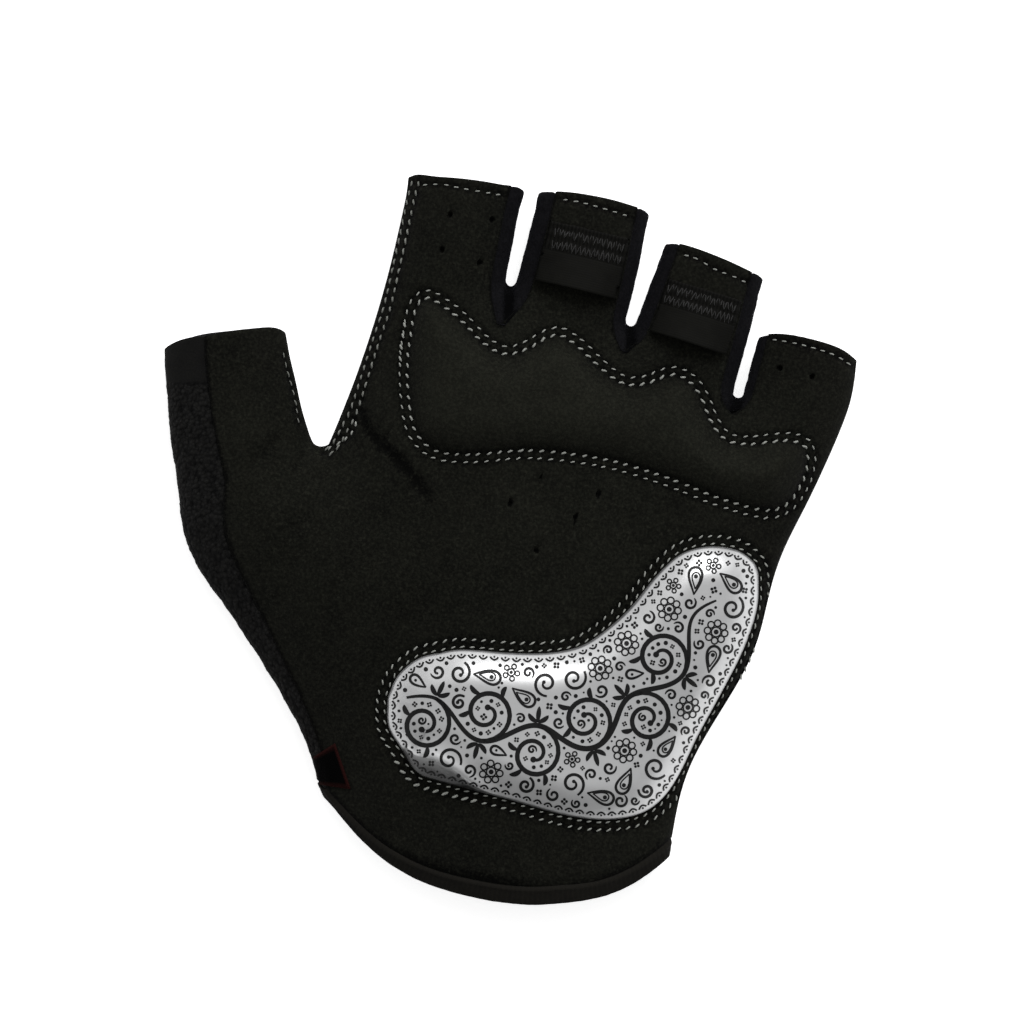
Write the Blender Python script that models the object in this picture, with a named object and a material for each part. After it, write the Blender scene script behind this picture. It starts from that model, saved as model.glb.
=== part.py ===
"""A left-hand fingerless cycling glove, lying palm up on the plane z = 0.

X runs across the palm from the thumb side to the little finger, Y from the wrist to the fingertips
and Z out of the palm. The glove is a flat pattern blown up from inside: its outline in plan is
made of closed rims (the two sides and the four slits between the fingers), and the skin rises
from the seam level at a rim to a crown far from every rim. The underside is flattened where it
rests. Each panel is a sheet laid on that skin and given its wall inwards.
"""

import math
from collections import namedtuple

import bmesh
import bpy
import numpy as np

# Overall form
PALM_WIDTH = 0.106  # across the hand at the thumb's slit
PALM_LENGTH = 0.130  # from the wrist edge to the slit between middle and ring finger
SEAM_HEIGHT = 0.0070  # the side seams above the surface
CROWN = 0.0090
CROWN_REACH = 0.025
PALM_SWELL = 0.50  # what the broad palm gains over the narrow fingers
FLOOR_SPREAD = 0.70  # how soon the underside turns flat

# Walls and seams
SUEDE_WALL = 0.0013
STRETCH_WALL = 0.0010
TERRY_WALL = 0.0016
CUFF_WALL = 0.0016
SEAM_GAP = 0.0003
PATCH_CLEARANCE = 0.0006  # a patch above the true skin, more than the facets sink below it
HEM_WIDTH = 0.0040
HEM_FOLD = 0.0006

# Trim
CUFF_WIDTH = 0.0044
CUFF_PROUD = 0.0003
WRIST_SAG = 0.0164
WRIST_SKEW = 1.06  # the tongue hangs a little towards the little finger
FOURCHETTE_ON_BACK = 0.0030
FOOT_ROUNDING = 1.6  # 1 ends a gusset in a straight V, 2 in half an ellipse
WIPE_AT_WRIST = 0.0025
WIPE_AT_ROOT = 0.0115  # at the thumb's root
WIPE_AT_TIP = 0.0095
WIPE_ON_BACK = 0.0040
TAB_LENGTH = 0.0088
TAB_ON_PALM = 0.0058
TAB_ON_BACK = 0.0030
TAB_WALL = 0.0008
TAB_CLEARANCE = 0.0004
TAB_COLUMNS = 3

# Pads and pull loops
PAD_EDGE = 0.0008
KNUCKLE_RISE = 0.0022
HEEL_RISE = 0.0034
PAD_SHOULDER = 0.0075
LOOP_LIFT = 0.0022
LOOP_WALL = 0.0011

# Facets
BODY_ROWS = 12
ROW_CROWDING = 1.35  # rows crowd towards the fingers, where the skin dips to the slits
DIGIT_ROWS = 4  # up to the hem, which adds two
SLIT_COLUMNS = 4
RIM_SAMPLES = 200
STEP = 1e-7  # for slopes

# Turns are degrees from +Y (lean, clockwise) or from +X (opening). Bows are shares of the edge's
# length, towards +X. The wrist columns say which share of the cuff line lies below the digit.
Digit = namedtuple(
    "Digit", "name length lean tip_width opening bulge left_bow right_bow wrist_from wrist_to columns"
)
DIGITS = (
    Digit("thumb", 0.0291, -21.0, 0.0268, 15.3, 0.0031, -0.034, -0.020, 0.00, 0.17, 7),
    Digit("index", 0.0430, 5.7, 0.0265, 2.6, 0.0014, 0.031, 0.000, 0.19, 0.38, 7),
    Digit("middle", 0.0237, 3.2, 0.0257, -1.0, 0.0022, 0.000, 0.020, 0.43, 0.57, 6),
    Digit("ring", 0.0242, 7.0, 0.0240, -10.3, 0.0014, 0.000, 0.011, 0.61, 0.75, 6),
    Digit("little", 0.0180, 7.0, 0.0234, -3.6, 0.0022, 0.000, 0.034, 0.79, 1.00, 7),
)

# Slit bottoms: x as a share of PALM_WIDTH, y of PALM_LENGTH, then real sizes: the slit's width, and
# how much of the gusset shows on the palm at its left, at its right and below it
Slit = namedtuple("Slit", "x y width on_left on_right foot")
SLITS = (
    Slit(-0.521, 0.272, 0.0050, 0.0, 0.0, 0.0),
    Slit(-0.177, 0.612, 0.0024, 0.0031, 0.0036, 0.0095),
    Slit(0.095, 0.579, 0.0024, 0.0029, 0.0030, 0.0060),
    Slit(0.351, 0.486, 0.0024, 0.0030, 0.0018, 0.0038),
)

# The palm's two sides from the cuff line up to the first digit, in the same shares
Station = namedtuple("Station", "x y")
THUMB_SIDE = (
    Station(-0.397, -0.306),
    Station(-0.426, -0.262),
    Station(-0.512, -0.172),
    Station(-0.614, -0.080),
    Station(-0.718, 0.012),
    Station(-0.783, 0.082),
    Station(-0.815, 0.161),
)
LITTLE_SIDE = (
    Station(0.379, -0.302),
    Station(0.379, -0.228),
    Station(0.394, -0.150),
    Station(0.438, -0.062),
    Station(0.474, 0.023),
    Station(0.491, 0.128),
    Station(0.503, 0.220),
    Station(0.545, 0.330),
    Station(0.576, 0.427),
)

# Patches: each section runs from the near edge to the far edge, in the same shares
Section = namedtuple("Section", "near_x near_y far_x far_y")
KNUCKLE_PAD = (
    Section(-0.388, 0.462, -0.388, 0.462),
    Section(-0.376, 0.400, -0.386, 0.550),
    Section(-0.342, 0.319, -0.345, 0.583),
    Section(-0.278, 0.281, -0.273, 0.559),
    Section(-0.189, 0.284, -0.163, 0.507),
    Section(-0.066, 0.309, -0.049, 0.558),
    Section(0.085, 0.316, 0.103, 0.492),
    Section(0.197, 0.307, 0.200, 0.524),
    Section(0.268, 0.297, 0.268, 0.506),
    Section(0.345, 0.285, 0.350, 0.424),
    Section(0.453, 0.280, 0.472, 0.446),
    Section(0.510, 0.306, 0.521, 0.439),
    Section(0.537, 0.354, 0.541, 0.411),
    Section(0.543, 0.385, 0.543, 0.385),
)
HEEL_PAD = (
    Section(-0.279, -0.142, -0.279, -0.142),
    Section(-0.267, -0.190, -0.267, -0.100),
    Section(-0.232, -0.224, -0.231, -0.064),
    Section(-0.190, -0.262, -0.186, -0.047),
    Section(-0.132, -0.271, -0.137, -0.034),
    Section(0.000, -0.279, -0.028, -0.025),
    Section(0.129, -0.291, 0.052, -0.012),
    Section(0.226, -0.288, 0.113, 0.010),
    Section(0.307, -0.263, 0.165, 0.052),
    Section(0.354, -0.210, 0.203, 0.094),
    Section(0.387, -0.119, 0.242, 0.152),
    Section(0.421, -0.038, 0.286, 0.197),
    Section(0.453, 0.046, 0.344, 0.219),
    Section(0.467, 0.123, 0.404, 0.221),
    Section(0.459, 0.178, 0.440, 0.207),
    Section(0.452, 0.195, 0.452, 0.195),
)

# Pull loops, in real sizes: head and foot are distances below the finger's opening
Loop = namedtuple("Loop", "name digit head foot width shift")
LOOPS = (
    Loop("pull_loop_middle", 2, 0.0060, 0.0200, 0.0188, 0.0008),
    Loop("pull_loop_ring", 3, 0.0072, 0.0200, 0.0170, -0.0004),
)

# Colours are linear RGB
Finish = namedtuple("Finish", "name colour roughness metallic")
SUEDE = Finish("suede", (0.010, 0.010, 0.008), 0.95, 0.0)
STRETCH = Finish("stretch_knit", (0.008, 0.008, 0.012), 0.75, 0.0)
TERRY = Finish("terry", (0.010, 0.010, 0.012), 1.0, 0.0)
SILVER = Finish("printed_silver", (0.55, 0.56, 0.57), 0.35, 0.3)
RIBBED = Finish("ribbed_tape", (0.009, 0.009, 0.008), 0.55, 0.0)
ELASTIC = Finish("elastic", (0.012, 0.012, 0.011), 0.80, 0.0)


def clear_scene():
    for thing in list(bpy.data.objects):
        bpy.data.objects.remove(thing, do_unlink=True)


def material(finish):
    made = bpy.data.materials.get(finish.name) or bpy.data.materials.new(finish.name)
    made.use_nodes = True
    shader = made.node_tree.nodes["Principled BSDF"]
    shader.inputs["Base Color"].default_value = (*finish.colour, 1.0)
    shader.inputs["Roughness"].default_value = finish.roughness
    shader.inputs["Metallic"].default_value = finish.metallic
    return made


def in_palm(station):
    return np.array((station.x * PALM_WIDTH, station.y * PALM_LENGTH))


def heading(degrees):
    """The plan direction that leans this far clockwise from +Y."""
    return np.array((math.sin(math.radians(degrees)), math.cos(math.radians(degrees))))


def across(degrees):
    """The plan direction that turns this far anticlockwise from +X."""
    return np.array((math.cos(math.radians(degrees)), math.sin(math.radians(degrees))))


def through(points, share):
    """A smooth curve through the points, with share running from 0 at the first to 1 at the last."""
    points = np.asarray(points, float)
    padded = np.vstack((2 * points[0] - points[1], points, 2 * points[-1] - points[-2]))
    place = min(max(share, 0.0), 1.0) * (len(points) - 1)
    i = min(int(place), len(points) - 2)
    f = place - i
    a, b, c, d = padded[i : i + 4]
    return 0.5 * (2 * b + (c - a) * f + (2 * a - 5 * b + 4 * c - d) * f**2 + (3 * b - a - 3 * c + d) * f**3)


def eased(count):
    """Shares from 0 to 1 that crowd towards both ends, where the skin turns steeply."""
    return [(1 - math.cos(math.pi * i / count)) / 2 for i in range(count + 1)]


# The outline in plan


def slit_lean(k):
    return (DIGITS[k].lean + DIGITS[k + 1].lean) / 2


def slit_centre(k):
    return in_palm(SLITS[k]) + heading(slit_lean(k)) * SLITS[k].width / 2


def slit_lip(k, side):
    """Where a slit's round bottom turns into its left (-1) or right (+1) edge."""
    return slit_centre(k) + side * across(-slit_lean(k)) * SLITS[k].width / 2


def slit_bottom(k, share):
    turn = math.pi * (1 - share)
    radius = SLITS[k].width / 2
    return (
        slit_centre(k)
        + across(-slit_lean(k)) * radius * math.cos(turn)
        - heading(slit_lean(k)) * radius * math.sin(turn)
    )


def digit_root(d, side):
    if side < 0:
        return slit_lip(d - 1, 1) if d > 0 else in_palm(THUMB_SIDE[-1])
    return slit_lip(d, -1) if d < len(SLITS) else in_palm(LITTLE_SIDE[-1])


def digit_tip(d, side):
    digit = DIGITS[d]
    left = in_palm(SLITS[d - 1]) if d > 0 else in_palm(THUMB_SIDE[-1])
    right = in_palm(SLITS[d]) if d < len(SLITS) else in_palm(LITTLE_SIDE[-1])
    centre = (left + right) / 2 + heading(digit.lean) * digit.length
    return centre + side * across(digit.opening) * digit.tip_width / 2


def digit_edge(d, side, share):
    """A point on the digit's left or right silhouette, share 0 at its root and 1 at its tip."""
    root, tip = digit_root(d, side), digit_tip(d, side)
    run = tip - root
    bow = DIGITS[d].left_bow if side < 0 else DIGITS[d].right_bow
    return root + run * share + np.array((run[1], -run[0])) * bow * 4 * share * (1 - share)


def side_curve(stations, share):
    return through([in_palm(s) for s in stations], share)


class Rim:
    """A closed side of the glove in plan, walked clockwise, so that the glove is on its right."""

    def __init__(self, *pieces, reach=0.02):
        self.pieces = pieces
        self.reach = reach  # how far either side of a point its direction is taken
        walk = [self.point(w) for w in np.linspace(0, len(pieces), RIM_SAMPLES * len(pieces) + 1)]
        first = walk[0] + (walk[0] - walk[1]) / np.linalg.norm(walk[0] - walk[1]) * PALM_LENGTH / 4
        last = walk[-1] + (walk[-1] - walk[-2]) / np.linalg.norm(walk[-1] - walk[-2]) * PALM_LENGTH / 4
        self.walk = np.array([first, *walk, last])

    def point(self, w):
        i = min(int(w), len(self.pieces) - 1)
        return self.pieces[i](w - i)

    def inward(self, w):
        run = self.point(min(w + self.reach, len(self.pieces))) - self.point(max(w - self.reach, 0))
        return np.array((run[1], -run[0])) / np.linalg.norm(run)

    def distance(self, points):
        """How far inside the rim each point lies, negative outside."""
        start, run = self.walk[:-1], np.diff(self.walk, axis=0)
        offset = points[:, None, :] - start[None]
        share = np.clip((offset * run).sum(-1) / (run * run).sum(-1), 0, 1)
        away = offset - share[..., None] * run
        squared = (away * away).sum(-1)
        nearest = squared.argmin(1)
        rows = np.arange(len(points))
        o, r = offset[rows, nearest], run[nearest]
        side = np.sign(o[:, 1] * r[:, 0] - o[:, 0] * r[:, 1])
        return -side * np.sqrt(squared[rows, nearest])


def slit_rim(k):
    return Rim(
        lambda f: digit_edge(k, 1, 1 - f),
        lambda f: slit_bottom(k, f),
        lambda f: digit_edge(k + 1, -1, f),
    )


RIMS = (
    Rim(lambda f: side_curve(THUMB_SIDE, f), lambda f: digit_edge(0, -1, f), reach=0.15),
    *(slit_rim(k) for k in range(len(SLITS))),
    Rim(lambda f: digit_edge(4, 1, 1 - f), lambda f: side_curve(LITTLE_SIDE, 1 - f)),
)
LITTLE_RIM = len(RIMS) - 1


# The skin


def soft_distance(points):
    """Smooth distance from the rims: near a rim its own distance, in the open less than the nearest."""
    each = np.stack([rim.distance(points) for rim in RIMS])
    tiny = 1e-24
    return np.where(each.min(0) < 0, -1.0, 1.0) * ((1 / (each**2 + tiny)).sum(0)) ** -0.5


def crown(points):
    reach = soft_distance(points) / CROWN_REACH
    root = reach / (reach**2 + 1e-6) ** 0.25
    return CROWN * root * (1 + PALM_SWELL * np.abs(reach))


def height(points, side):
    """Height of the skin on the palm (side 1) or on the back (side -1)."""
    rise = crown(points)
    if side > 0:
        return SEAM_HEIGHT + rise
    return SEAM_HEIGHT * (1 - np.sin(math.pi / 2 * np.clip(rise / (FLOOR_SPREAD * SEAM_HEIGHT), -1, 1)))


def skin(plan, side):
    """Points of the skin over the plan points, and its outward normals there."""
    flat = plan.reshape(-1, 2)
    ahead, up = np.array((STEP, 0.0)), np.array((0.0, STEP))
    slope_x = (height(flat + ahead, side) - height(flat - ahead, side)) / (2 * STEP)
    slope_y = (height(flat + up, side) - height(flat - up, side)) / (2 * STEP)
    normal = np.stack((-side * slope_x, -side * slope_y, np.full(len(flat), float(side))), -1)
    normal /= np.linalg.norm(normal, axis=1, keepdims=True)
    points = np.column_stack((flat, height(flat, side)))
    return points.reshape(*plan.shape[:-1], 3), normal.reshape(*plan.shape[:-1], 3)


# Where the panels end in plan


def wrist_arc(left, right, share):
    """The tongue-shaped wrist line between its two corners."""
    sag = WRIST_SAG * (1 - abs(2 * share**WRIST_SKEW - 1) ** 2.9)
    return left + (right - left) * share - np.array((0.0, sag))


def cuff_line(share):
    return wrist_arc(in_palm(THUMB_SIDE[0]), in_palm(LITTLE_SIDE[0]), share)


def wrist_edge(share):
    thumb, little = RIMS[0], RIMS[LITTLE_RIM]
    left, right = in_palm(THUMB_SIDE[0]), in_palm(LITTLE_SIDE[0])
    down_left = thumb.walk[0] - thumb.walk[1]
    down_right = little.walk[-1] - little.walk[-2]
    left = left + down_left / np.linalg.norm(down_left) * CUFF_WIDTH
    right = right + down_right / np.linalg.norm(down_right) * CUFF_WIDTH
    return wrist_arc(left, right, share)


def bulge(d, along, share):
    """How far a digit's rows bow outwards, so that its opening has round corners."""
    return heading(DIGITS[d].lean) * DIGITS[d].bulge * (1 - abs(2 * share - 1) ** 4) * along**2


def beside(rim, w):
    """The digit beside a rim's station and the share along it, or None in the palm."""
    if rim == 0:
        return (0, w - 1) if w > 1 else None
    if w < 1:
        return (rim - 1, 1 - w)
    return (rim, w - 2) if w > 2 and rim < LITTLE_RIM else None


def inside(rim, w, inset):
    """The plan point that lies inset from a rim. At the wrist it slides onto the cuff line."""
    point = RIMS[rim].point(w) + inset * RIMS[rim].inward(w)
    if beside(rim, w):
        d, along = beside(rim, w)
        point = point + bulge(d, along, inset / DIGITS[d].tip_width)
    above_wrist = {0: w, LITTLE_RIM: 2 - w}.get(rim, 1.0)
    if above_wrist >= 1:
        return point
    w0 = 0 if rim == 0 else 2
    width = np.linalg.norm(in_palm(LITTLE_SIDE[0]) - in_palm(THUMB_SIDE[0]))
    share = inset / width if rim == 0 else 1 - inset / width
    slide = cuff_line(share) - RIMS[rim].point(w0) - inset * RIMS[rim].inward(w0)
    return point + slide * (1 - above_wrist) ** 2


def wipe_width(w):
    """The towelling strip widens from the wrist to the thumb's root."""
    return float(np.interp(w, (0, 1, 2), (WIPE_AT_WRIST, WIPE_AT_ROOT, WIPE_AT_TIP)))


def gusset_width(w, rim, side):
    """How far a gusset reaches over the palm (side 1) or the back (side -1), and below its slit."""
    slit = SLITS[rim - 1]
    left, right, foot = (slit.on_left, slit.on_right, slit.foot) if side > 0 else (FOURCHETTE_ON_BACK,) * 3
    if w <= 1 or w >= 2:
        return left if w <= 1 else right
    radius = slit.width / 2
    level, down = math.cos(math.pi * (w - 1)), math.sin(math.pi * (w - 1))
    sideways = abs(level) / (radius + (left if level > 0 else right))
    to_foot = down / (radius + foot)
    return (sideways**FOOT_ROUNDING + to_foot**FOOT_ROUNDING) ** (-1 / FOOT_ROUNDING) - radius


def panel_inset(side, rim, w):
    """How far from a rim the palm (side 1) or back (side -1) panel ends."""
    if rim == 0:
        return (wipe_width(w) if side > 0 else WIPE_ON_BACK * min(1.0, 0.5 + w)) + SEAM_GAP / 2
    if rim in (1, LITTLE_RIM):
        return 0.0
    return gusset_width(w, rim, side) + SEAM_GAP / 2


def body_rows():
    """Row shares from the cuff line up to the digits' roots."""
    return [1 - (1 - j / BODY_ROWS) ** ROW_CROWDING for j in range(BODY_ROWS + 1)]


def hem_shares(d):
    """Row shares along a digit: even rows, then the hem's step and the opening."""
    step = 1 - HEM_WIDTH / DIGITS[d].length
    rows = [step * i / DIGIT_ROWS for i in range(DIGIT_ROWS + 1)]
    return [*rows, step + SEAM_GAP / DIGITS[d].length, 1.0]


def rim_of(d, side):
    """The rim beside a digit, and the station on it of a share along the digit."""
    if side < 0:
        return (d, lambda share: (2 if d else 1) + share)
    return (d + 1, lambda share: 1 - share)


def digit_point(d, panel_side, along, share):
    """Plan point of a panel's sheet on a digit, share 0 at its left seam and 1 at its right."""
    ends, shares = [], []
    for side in (-1, 1):
        rim, station = rim_of(d, side)
        inset = panel_inset(panel_side, rim, station(along))
        ends.append(inside(rim, station(along), inset))
        edge_share = inset / DIGITS[d].tip_width
        shares.append(edge_share if side < 0 else 1 - edge_share)
    point = ends[0] + (ends[1] - ends[0]) * share
    given = bulge(d, along, shares[0]) * (1 - share) + bulge(d, along, shares[1]) * share
    return point + bulge(d, along, shares[0] + (shares[1] - shares[0]) * share) - given


Column = namedtuple("Column", "digit slit share wrist")


def pattern_columns():
    """The columns of the palm and back pattern, from the thumb side to the little finger."""
    columns = []
    for d, digit in enumerate(DIGITS):
        for share in eased(digit.columns):
            wrist = digit.wrist_from + (digit.wrist_to - digit.wrist_from) * share
            columns.append(Column(d, None, share, wrist))
        if d < len(SLITS):
            for i in range(1, SLIT_COLUMNS):
                f = i / SLIT_COLUMNS
                wrist = digit.wrist_to + (DIGITS[d + 1].wrist_from - digit.wrist_to) * f
                columns.append(Column(None, d, f, wrist))
    return columns


def root_point(panel_side, column):
    """Plan point where a column leaves the palm: a digit's root, or the bottom of a slit."""
    if column.slit is None:
        return digit_point(column.digit, panel_side, 0.0, column.share)
    rim, w = column.slit + 1, 1 + column.share
    return inside(rim, w, panel_inset(panel_side, rim, w))


def body_point(panel_side, column, up):
    """Plan point in the palm: a blend of its four borders."""
    left_w, right_w = up, 2 - up
    left = inside(0, left_w, panel_inset(panel_side, 0, left_w))
    right = inside(LITTLE_RIM, right_w, panel_inset(panel_side, LITTLE_RIM, right_w))
    corners = [inside(0, w, panel_inset(panel_side, 0, w)) for w in (0.0, 1.0)]
    corners += [inside(LITTLE_RIM, w, panel_inset(panel_side, LITTLE_RIM, w)) for w in (2.0, 1.0)]
    width = np.linalg.norm(in_palm(LITTLE_SIDE[0]) - in_palm(THUMB_SIDE[0]))
    first = panel_inset(panel_side, 0, 0.0) / width
    a = column.wrist
    low = cuff_line(first + (1 - first) * a)
    high = root_point(panel_side, column)
    ruled = (1 - up) * low + up * high + (1 - a) * left + a * right
    bilinear = (1 - up) * ((1 - a) * corners[0] + a * corners[2]) + up * ((1 - a) * corners[1] + a * corners[3])
    return ruled - bilinear


# Solids


def slab(name, finish, outer, inner, keep=None, welded=False):
    """A sheet with a wall: a grid shaped to the outer points and extruded to the inner ones."""
    columns, rows = outer.shape[0] - 1, outer.shape[1] - 1
    bm = bmesh.new()
    bmesh.ops.create_grid(bm, x_segments=columns, y_segments=rows, size=1)
    behind = bm.verts.layers.float_vector.new("behind")
    places = {}
    for vert in bm.verts:
        i = round((vert.co.x + 1) / 2 * columns)
        j = round((vert.co.y + 1) / 2 * rows)
        places[vert] = (i, j)
    if keep is not None:
        cut = [f for f in bm.faces if not keep[min(places[v] for v in f.verts)]]
        bmesh.ops.delete(bm, geom=cut, context="FACES")
    for vert in bm.verts:
        vert.co = outer[places[vert]]
        vert[behind] = inner[places[vert]]
    if welded:
        bmesh.ops.remove_doubles(bm, verts=bm.verts, dist=1e-6)
    made = bmesh.ops.extrude_face_region(bm, geom=bm.faces[:])
    for vert in made["geom"]:
        if isinstance(vert, bmesh.types.BMVert):
            vert.co = vert[behind]
    bmesh.ops.recalc_face_normals(bm, faces=bm.faces)
    mesh = bpy.data.meshes.new(name)
    bm.to_mesh(mesh)
    bm.free()
    mesh.materials.append(material(finish))
    mesh.shade_smooth()
    mesh.set_sharp_from_angle(angle=math.radians(40))
    made = bpy.data.objects.new(name, mesh)
    bpy.context.scene.collection.objects.link(made)
    return made


def main_panel(name, finish, side, wall):
    """The palm or the back: the pattern of five digits joined at the palm, slits left open."""
    columns = pattern_columns()
    hem_from = BODY_ROWS + DIGIT_ROWS + 1
    rows = BODY_ROWS + DIGIT_ROWS + 2
    plan = np.zeros((len(columns), rows + 1, 2))
    keep = np.ones((len(columns) - 1, rows), bool)
    for i, column in enumerate(columns):
        for j, up in enumerate(body_rows()):
            plan[i, j] = body_point(side, column, up)
        for j in range(1, DIGIT_ROWS + 3):
            if column.slit is None:
                plan[i, BODY_ROWS + j] = digit_point(column.digit, side, hem_shares(column.digit)[j], column.share)
    for i, (a, b) in enumerate(zip(columns, columns[1:])):
        if a.slit is not None or b.slit is not None:
            keep[i, BODY_ROWS:] = False
    outer, normal = skin(plan, side)
    outer[..., 2] += side * SEAM_GAP / 2
    if side < 0:
        outer[..., 2] = np.maximum(outer[..., 2], 0.0)
    walls = np.full(rows + 1, wall)
    walls[hem_from:] += HEM_FOLD
    slab(name, finish, outer, outer - normal * walls[None, :, None], keep)


def ribbon(name, finish, rim, stations, palm_width, back_width, wall, folded, outward=0.0, columns=3):
    """A strip round a rim, from palm_width(w) inside it on the palm to back_width(w) on the back."""
    outer, inner = [], []
    for i in range(-columns, columns + 1):
        side = 1 if i <= 0 else -1
        ease = 1 - math.cos(math.pi / 2 * abs(i) / columns)
        width = palm_width if side > 0 else back_width
        plan = np.array([inside(rim, w, ease * width(w)) for w in stations])
        points, normals = skin(plan, side)
        walls = wall + np.where(folded, HEM_FOLD, 0.0)
        outer.append(points + normals * outward)
        inner.append(points + normals * (outward - walls[:, None]))
    slab(name, finish, np.array(outer), np.array(inner))


def gussets():
    names = {2: "fourchette_index_middle", 3: "fourchette_middle_ring", 4: "fourchette_ring_little"}
    for rim, name in names.items():
        left, right = hem_shares(rim - 1), hem_shares(rim)
        stations = [1 - s for s in reversed(left)]
        stations += [1 + i / SLIT_COLUMNS for i in range(1, SLIT_COLUMNS)]
        stations += [2 + s for s in right]
        folded = np.zeros(len(stations), bool)
        folded[[0, 1, -2, -1]] = True
        ribbon(
            name,
            STRETCH,
            rim,
            stations,
            lambda w: gusset_width(w, rim, 1) - SEAM_GAP,
            lambda w: gusset_width(w, rim, -1) - SEAM_GAP,
            STRETCH_WALL,
            folded,
        )


def thumb_wipe():
    stations = body_rows() + [1 + s for s in hem_shares(0)[1:]]
    folded = np.zeros(len(stations), bool)
    folded[-2:] = True
    ribbon(
        "thumb_wipe",
        TERRY,
        0,
        stations,
        lambda w: wipe_width(w) - SEAM_GAP / 2,
        lambda w: WIPE_ON_BACK * min(1.0, 0.5 + w) - SEAM_GAP / 2,
        TERRY_WALL,
        folded,
    )


def side_tab():
    """A folded tab round the thumb side's rim, laid square to it."""
    side_length = np.linalg.norm(np.diff(RIMS[0].walk[1 : RIM_SAMPLES + 2], axis=0), axis=1).sum()
    first, last = SEAM_GAP / side_length, TAB_LENGTH / side_length
    stations = [first + (last - first) * i / 2 for i in range(3)]
    outer, inner = [], []
    for i in range(-TAB_COLUMNS, TAB_COLUMNS + 1):
        side = 1 if i <= 0 else -1
        ease = 1 - math.cos(math.pi / 2 * abs(i) / TAB_COLUMNS)
        width = TAB_ON_PALM if side > 0 else TAB_ON_BACK
        plan = np.array([RIMS[0].point(w) + RIMS[0].inward(w) * ease * width for w in stations])
        points, normals = skin(plan, side)
        outer.append(points + normals * (TAB_CLEARANCE + TAB_WALL))
        inner.append(points + normals * TAB_CLEARANCE)
    slab("side_tab", RIBBED, np.array(outer), np.array(inner))


def cuff_band():
    """The elastic band round the wrist opening, proud of the panels that it finishes."""
    across_count, down_count = 24, 2
    outer, inner = [], []
    ring = [(share, 1) for share in eased(across_count)] + [(share, -1) for share in reversed(eased(across_count))]
    start = 1.6 * SEAM_GAP / CUFF_WIDTH
    for share, side in ring:
        downs = [start + (1 - start) * j / down_count for j in range(down_count + 1)]
        plan = np.array([cuff_line(share) * (1 - f) + wrist_edge(share) * f for f in downs])
        points, normals = skin(plan, side)
        if share in (0.0, 1.0):
            points[:, 2] = SEAM_HEIGHT
            normals[:, 2] = 0
        raised = points + normals * CUFF_PROUD
        if side < 0:
            raised[:, 2] = np.maximum(raised[:, 2], 0.0)
        outer.append(raised)
        inner.append(raised - normals * CUFF_WALL)
    slab("cuff_band", ELASTIC, np.array(outer), np.array(inner), welded=True)


def outline_distance(outline, points):
    start = outline
    run = np.roll(outline, -1, axis=0) - outline
    offset = points[:, None, :] - start[None]
    share = np.clip((offset * run).sum(-1) / np.maximum((run * run).sum(-1), 1e-18), 0, 1)
    away = offset - share[..., None] * run
    return np.sqrt((away * away).sum(-1).min(1))


def pad(name, finish, sections, rise):
    """A crowned patch on the palm, lofted through its sections and thin at its edge."""
    along_count, across_count = 3 * (len(sections) - 1), 8
    near = [np.array((s.near_x * PALM_WIDTH, s.near_y * PALM_LENGTH)) for s in sections]
    far = [np.array((s.far_x * PALM_WIDTH, s.far_y * PALM_LENGTH)) for s in sections]
    plan = np.zeros((along_count + 1, across_count + 1, 2))
    for i in range(along_count + 1):
        a, b = through(near, i / along_count), through(far, i / along_count)
        for j, share in enumerate(eased(across_count)):
            plan[i, j] = a + (b - a) * share
    outline = np.vstack((plan[:, 0], plan[::-1, -1]))
    depth = outline_distance(outline, plan.reshape(-1, 2)).reshape(plan.shape[:-1])
    thick = PAD_EDGE + rise * np.sin(math.pi / 2 * np.clip(depth / PAD_SHOULDER, 0, 1))
    points, normals = skin(plan, 1)
    base = points + normals * PATCH_CLEARANCE
    slab(name, finish, base + normals * thick[..., None], base, welded=True)


def pull_loop(loop):
    """A tape across a finger, sewn down at its head and sides, its foot lifted to be hooked."""
    lean = DIGITS[loop.digit].lean
    opening = (digit_tip(loop.digit, -1) + digit_tip(loop.digit, 1)) / 2
    rows, columns = 4, 6
    plan = np.zeros((columns + 1, rows + 1, 2))
    lift = np.zeros((columns + 1, rows + 1))
    for i in range(columns + 1):
        sideways = loop.shift + loop.width * (i / columns - 0.5)
        for j in range(rows + 1):
            f = j / rows
            down = loop.foot + (loop.head - loop.foot) * f
            plan[i, j] = opening + across(-lean) * sideways - heading(lean) * down
            lift[i, j] = LOOP_LIFT * math.sin(math.pi * i / columns) * (1 - f) ** 1.5
    points, normals = skin(plan, 1)
    base = points + normals * (PATCH_CLEARANCE + lift[..., None])
    slab(loop.name, RIBBED, base + normals * LOOP_WALL, base)


def build():
    clear_scene()
    main_panel("palm_panel", SUEDE, 1, SUEDE_WALL)
    main_panel("back_panel", STRETCH, -1, STRETCH_WALL)
    gussets()
    thumb_wipe()
    cuff_band()
    side_tab()
    pad("knuckle_pad", SUEDE, KNUCKLE_PAD, KNUCKLE_RISE)
    pad("heel_pad", SILVER, HEEL_PAD, HEEL_RISE)
    for loop in LOOPS:
        pull_loop(loop)


build()
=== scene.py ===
"""The looks of a left-hand fingerless cycling glove that lies palm up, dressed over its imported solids.

X runs across the palm to the little finger, Y to the fingertips and Z out of the palm, in metres.
Each cloth piece is a rounded copy of its CAD node, with seams, creases and puckers worked into it.
"""
import math
import random

import bmesh
import bpy
import numpy as np
from mathutils import Matrix, Vector, noise
from mathutils.bvhtree import BVHTree
from mathutils.kdtree import KDTree


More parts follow.
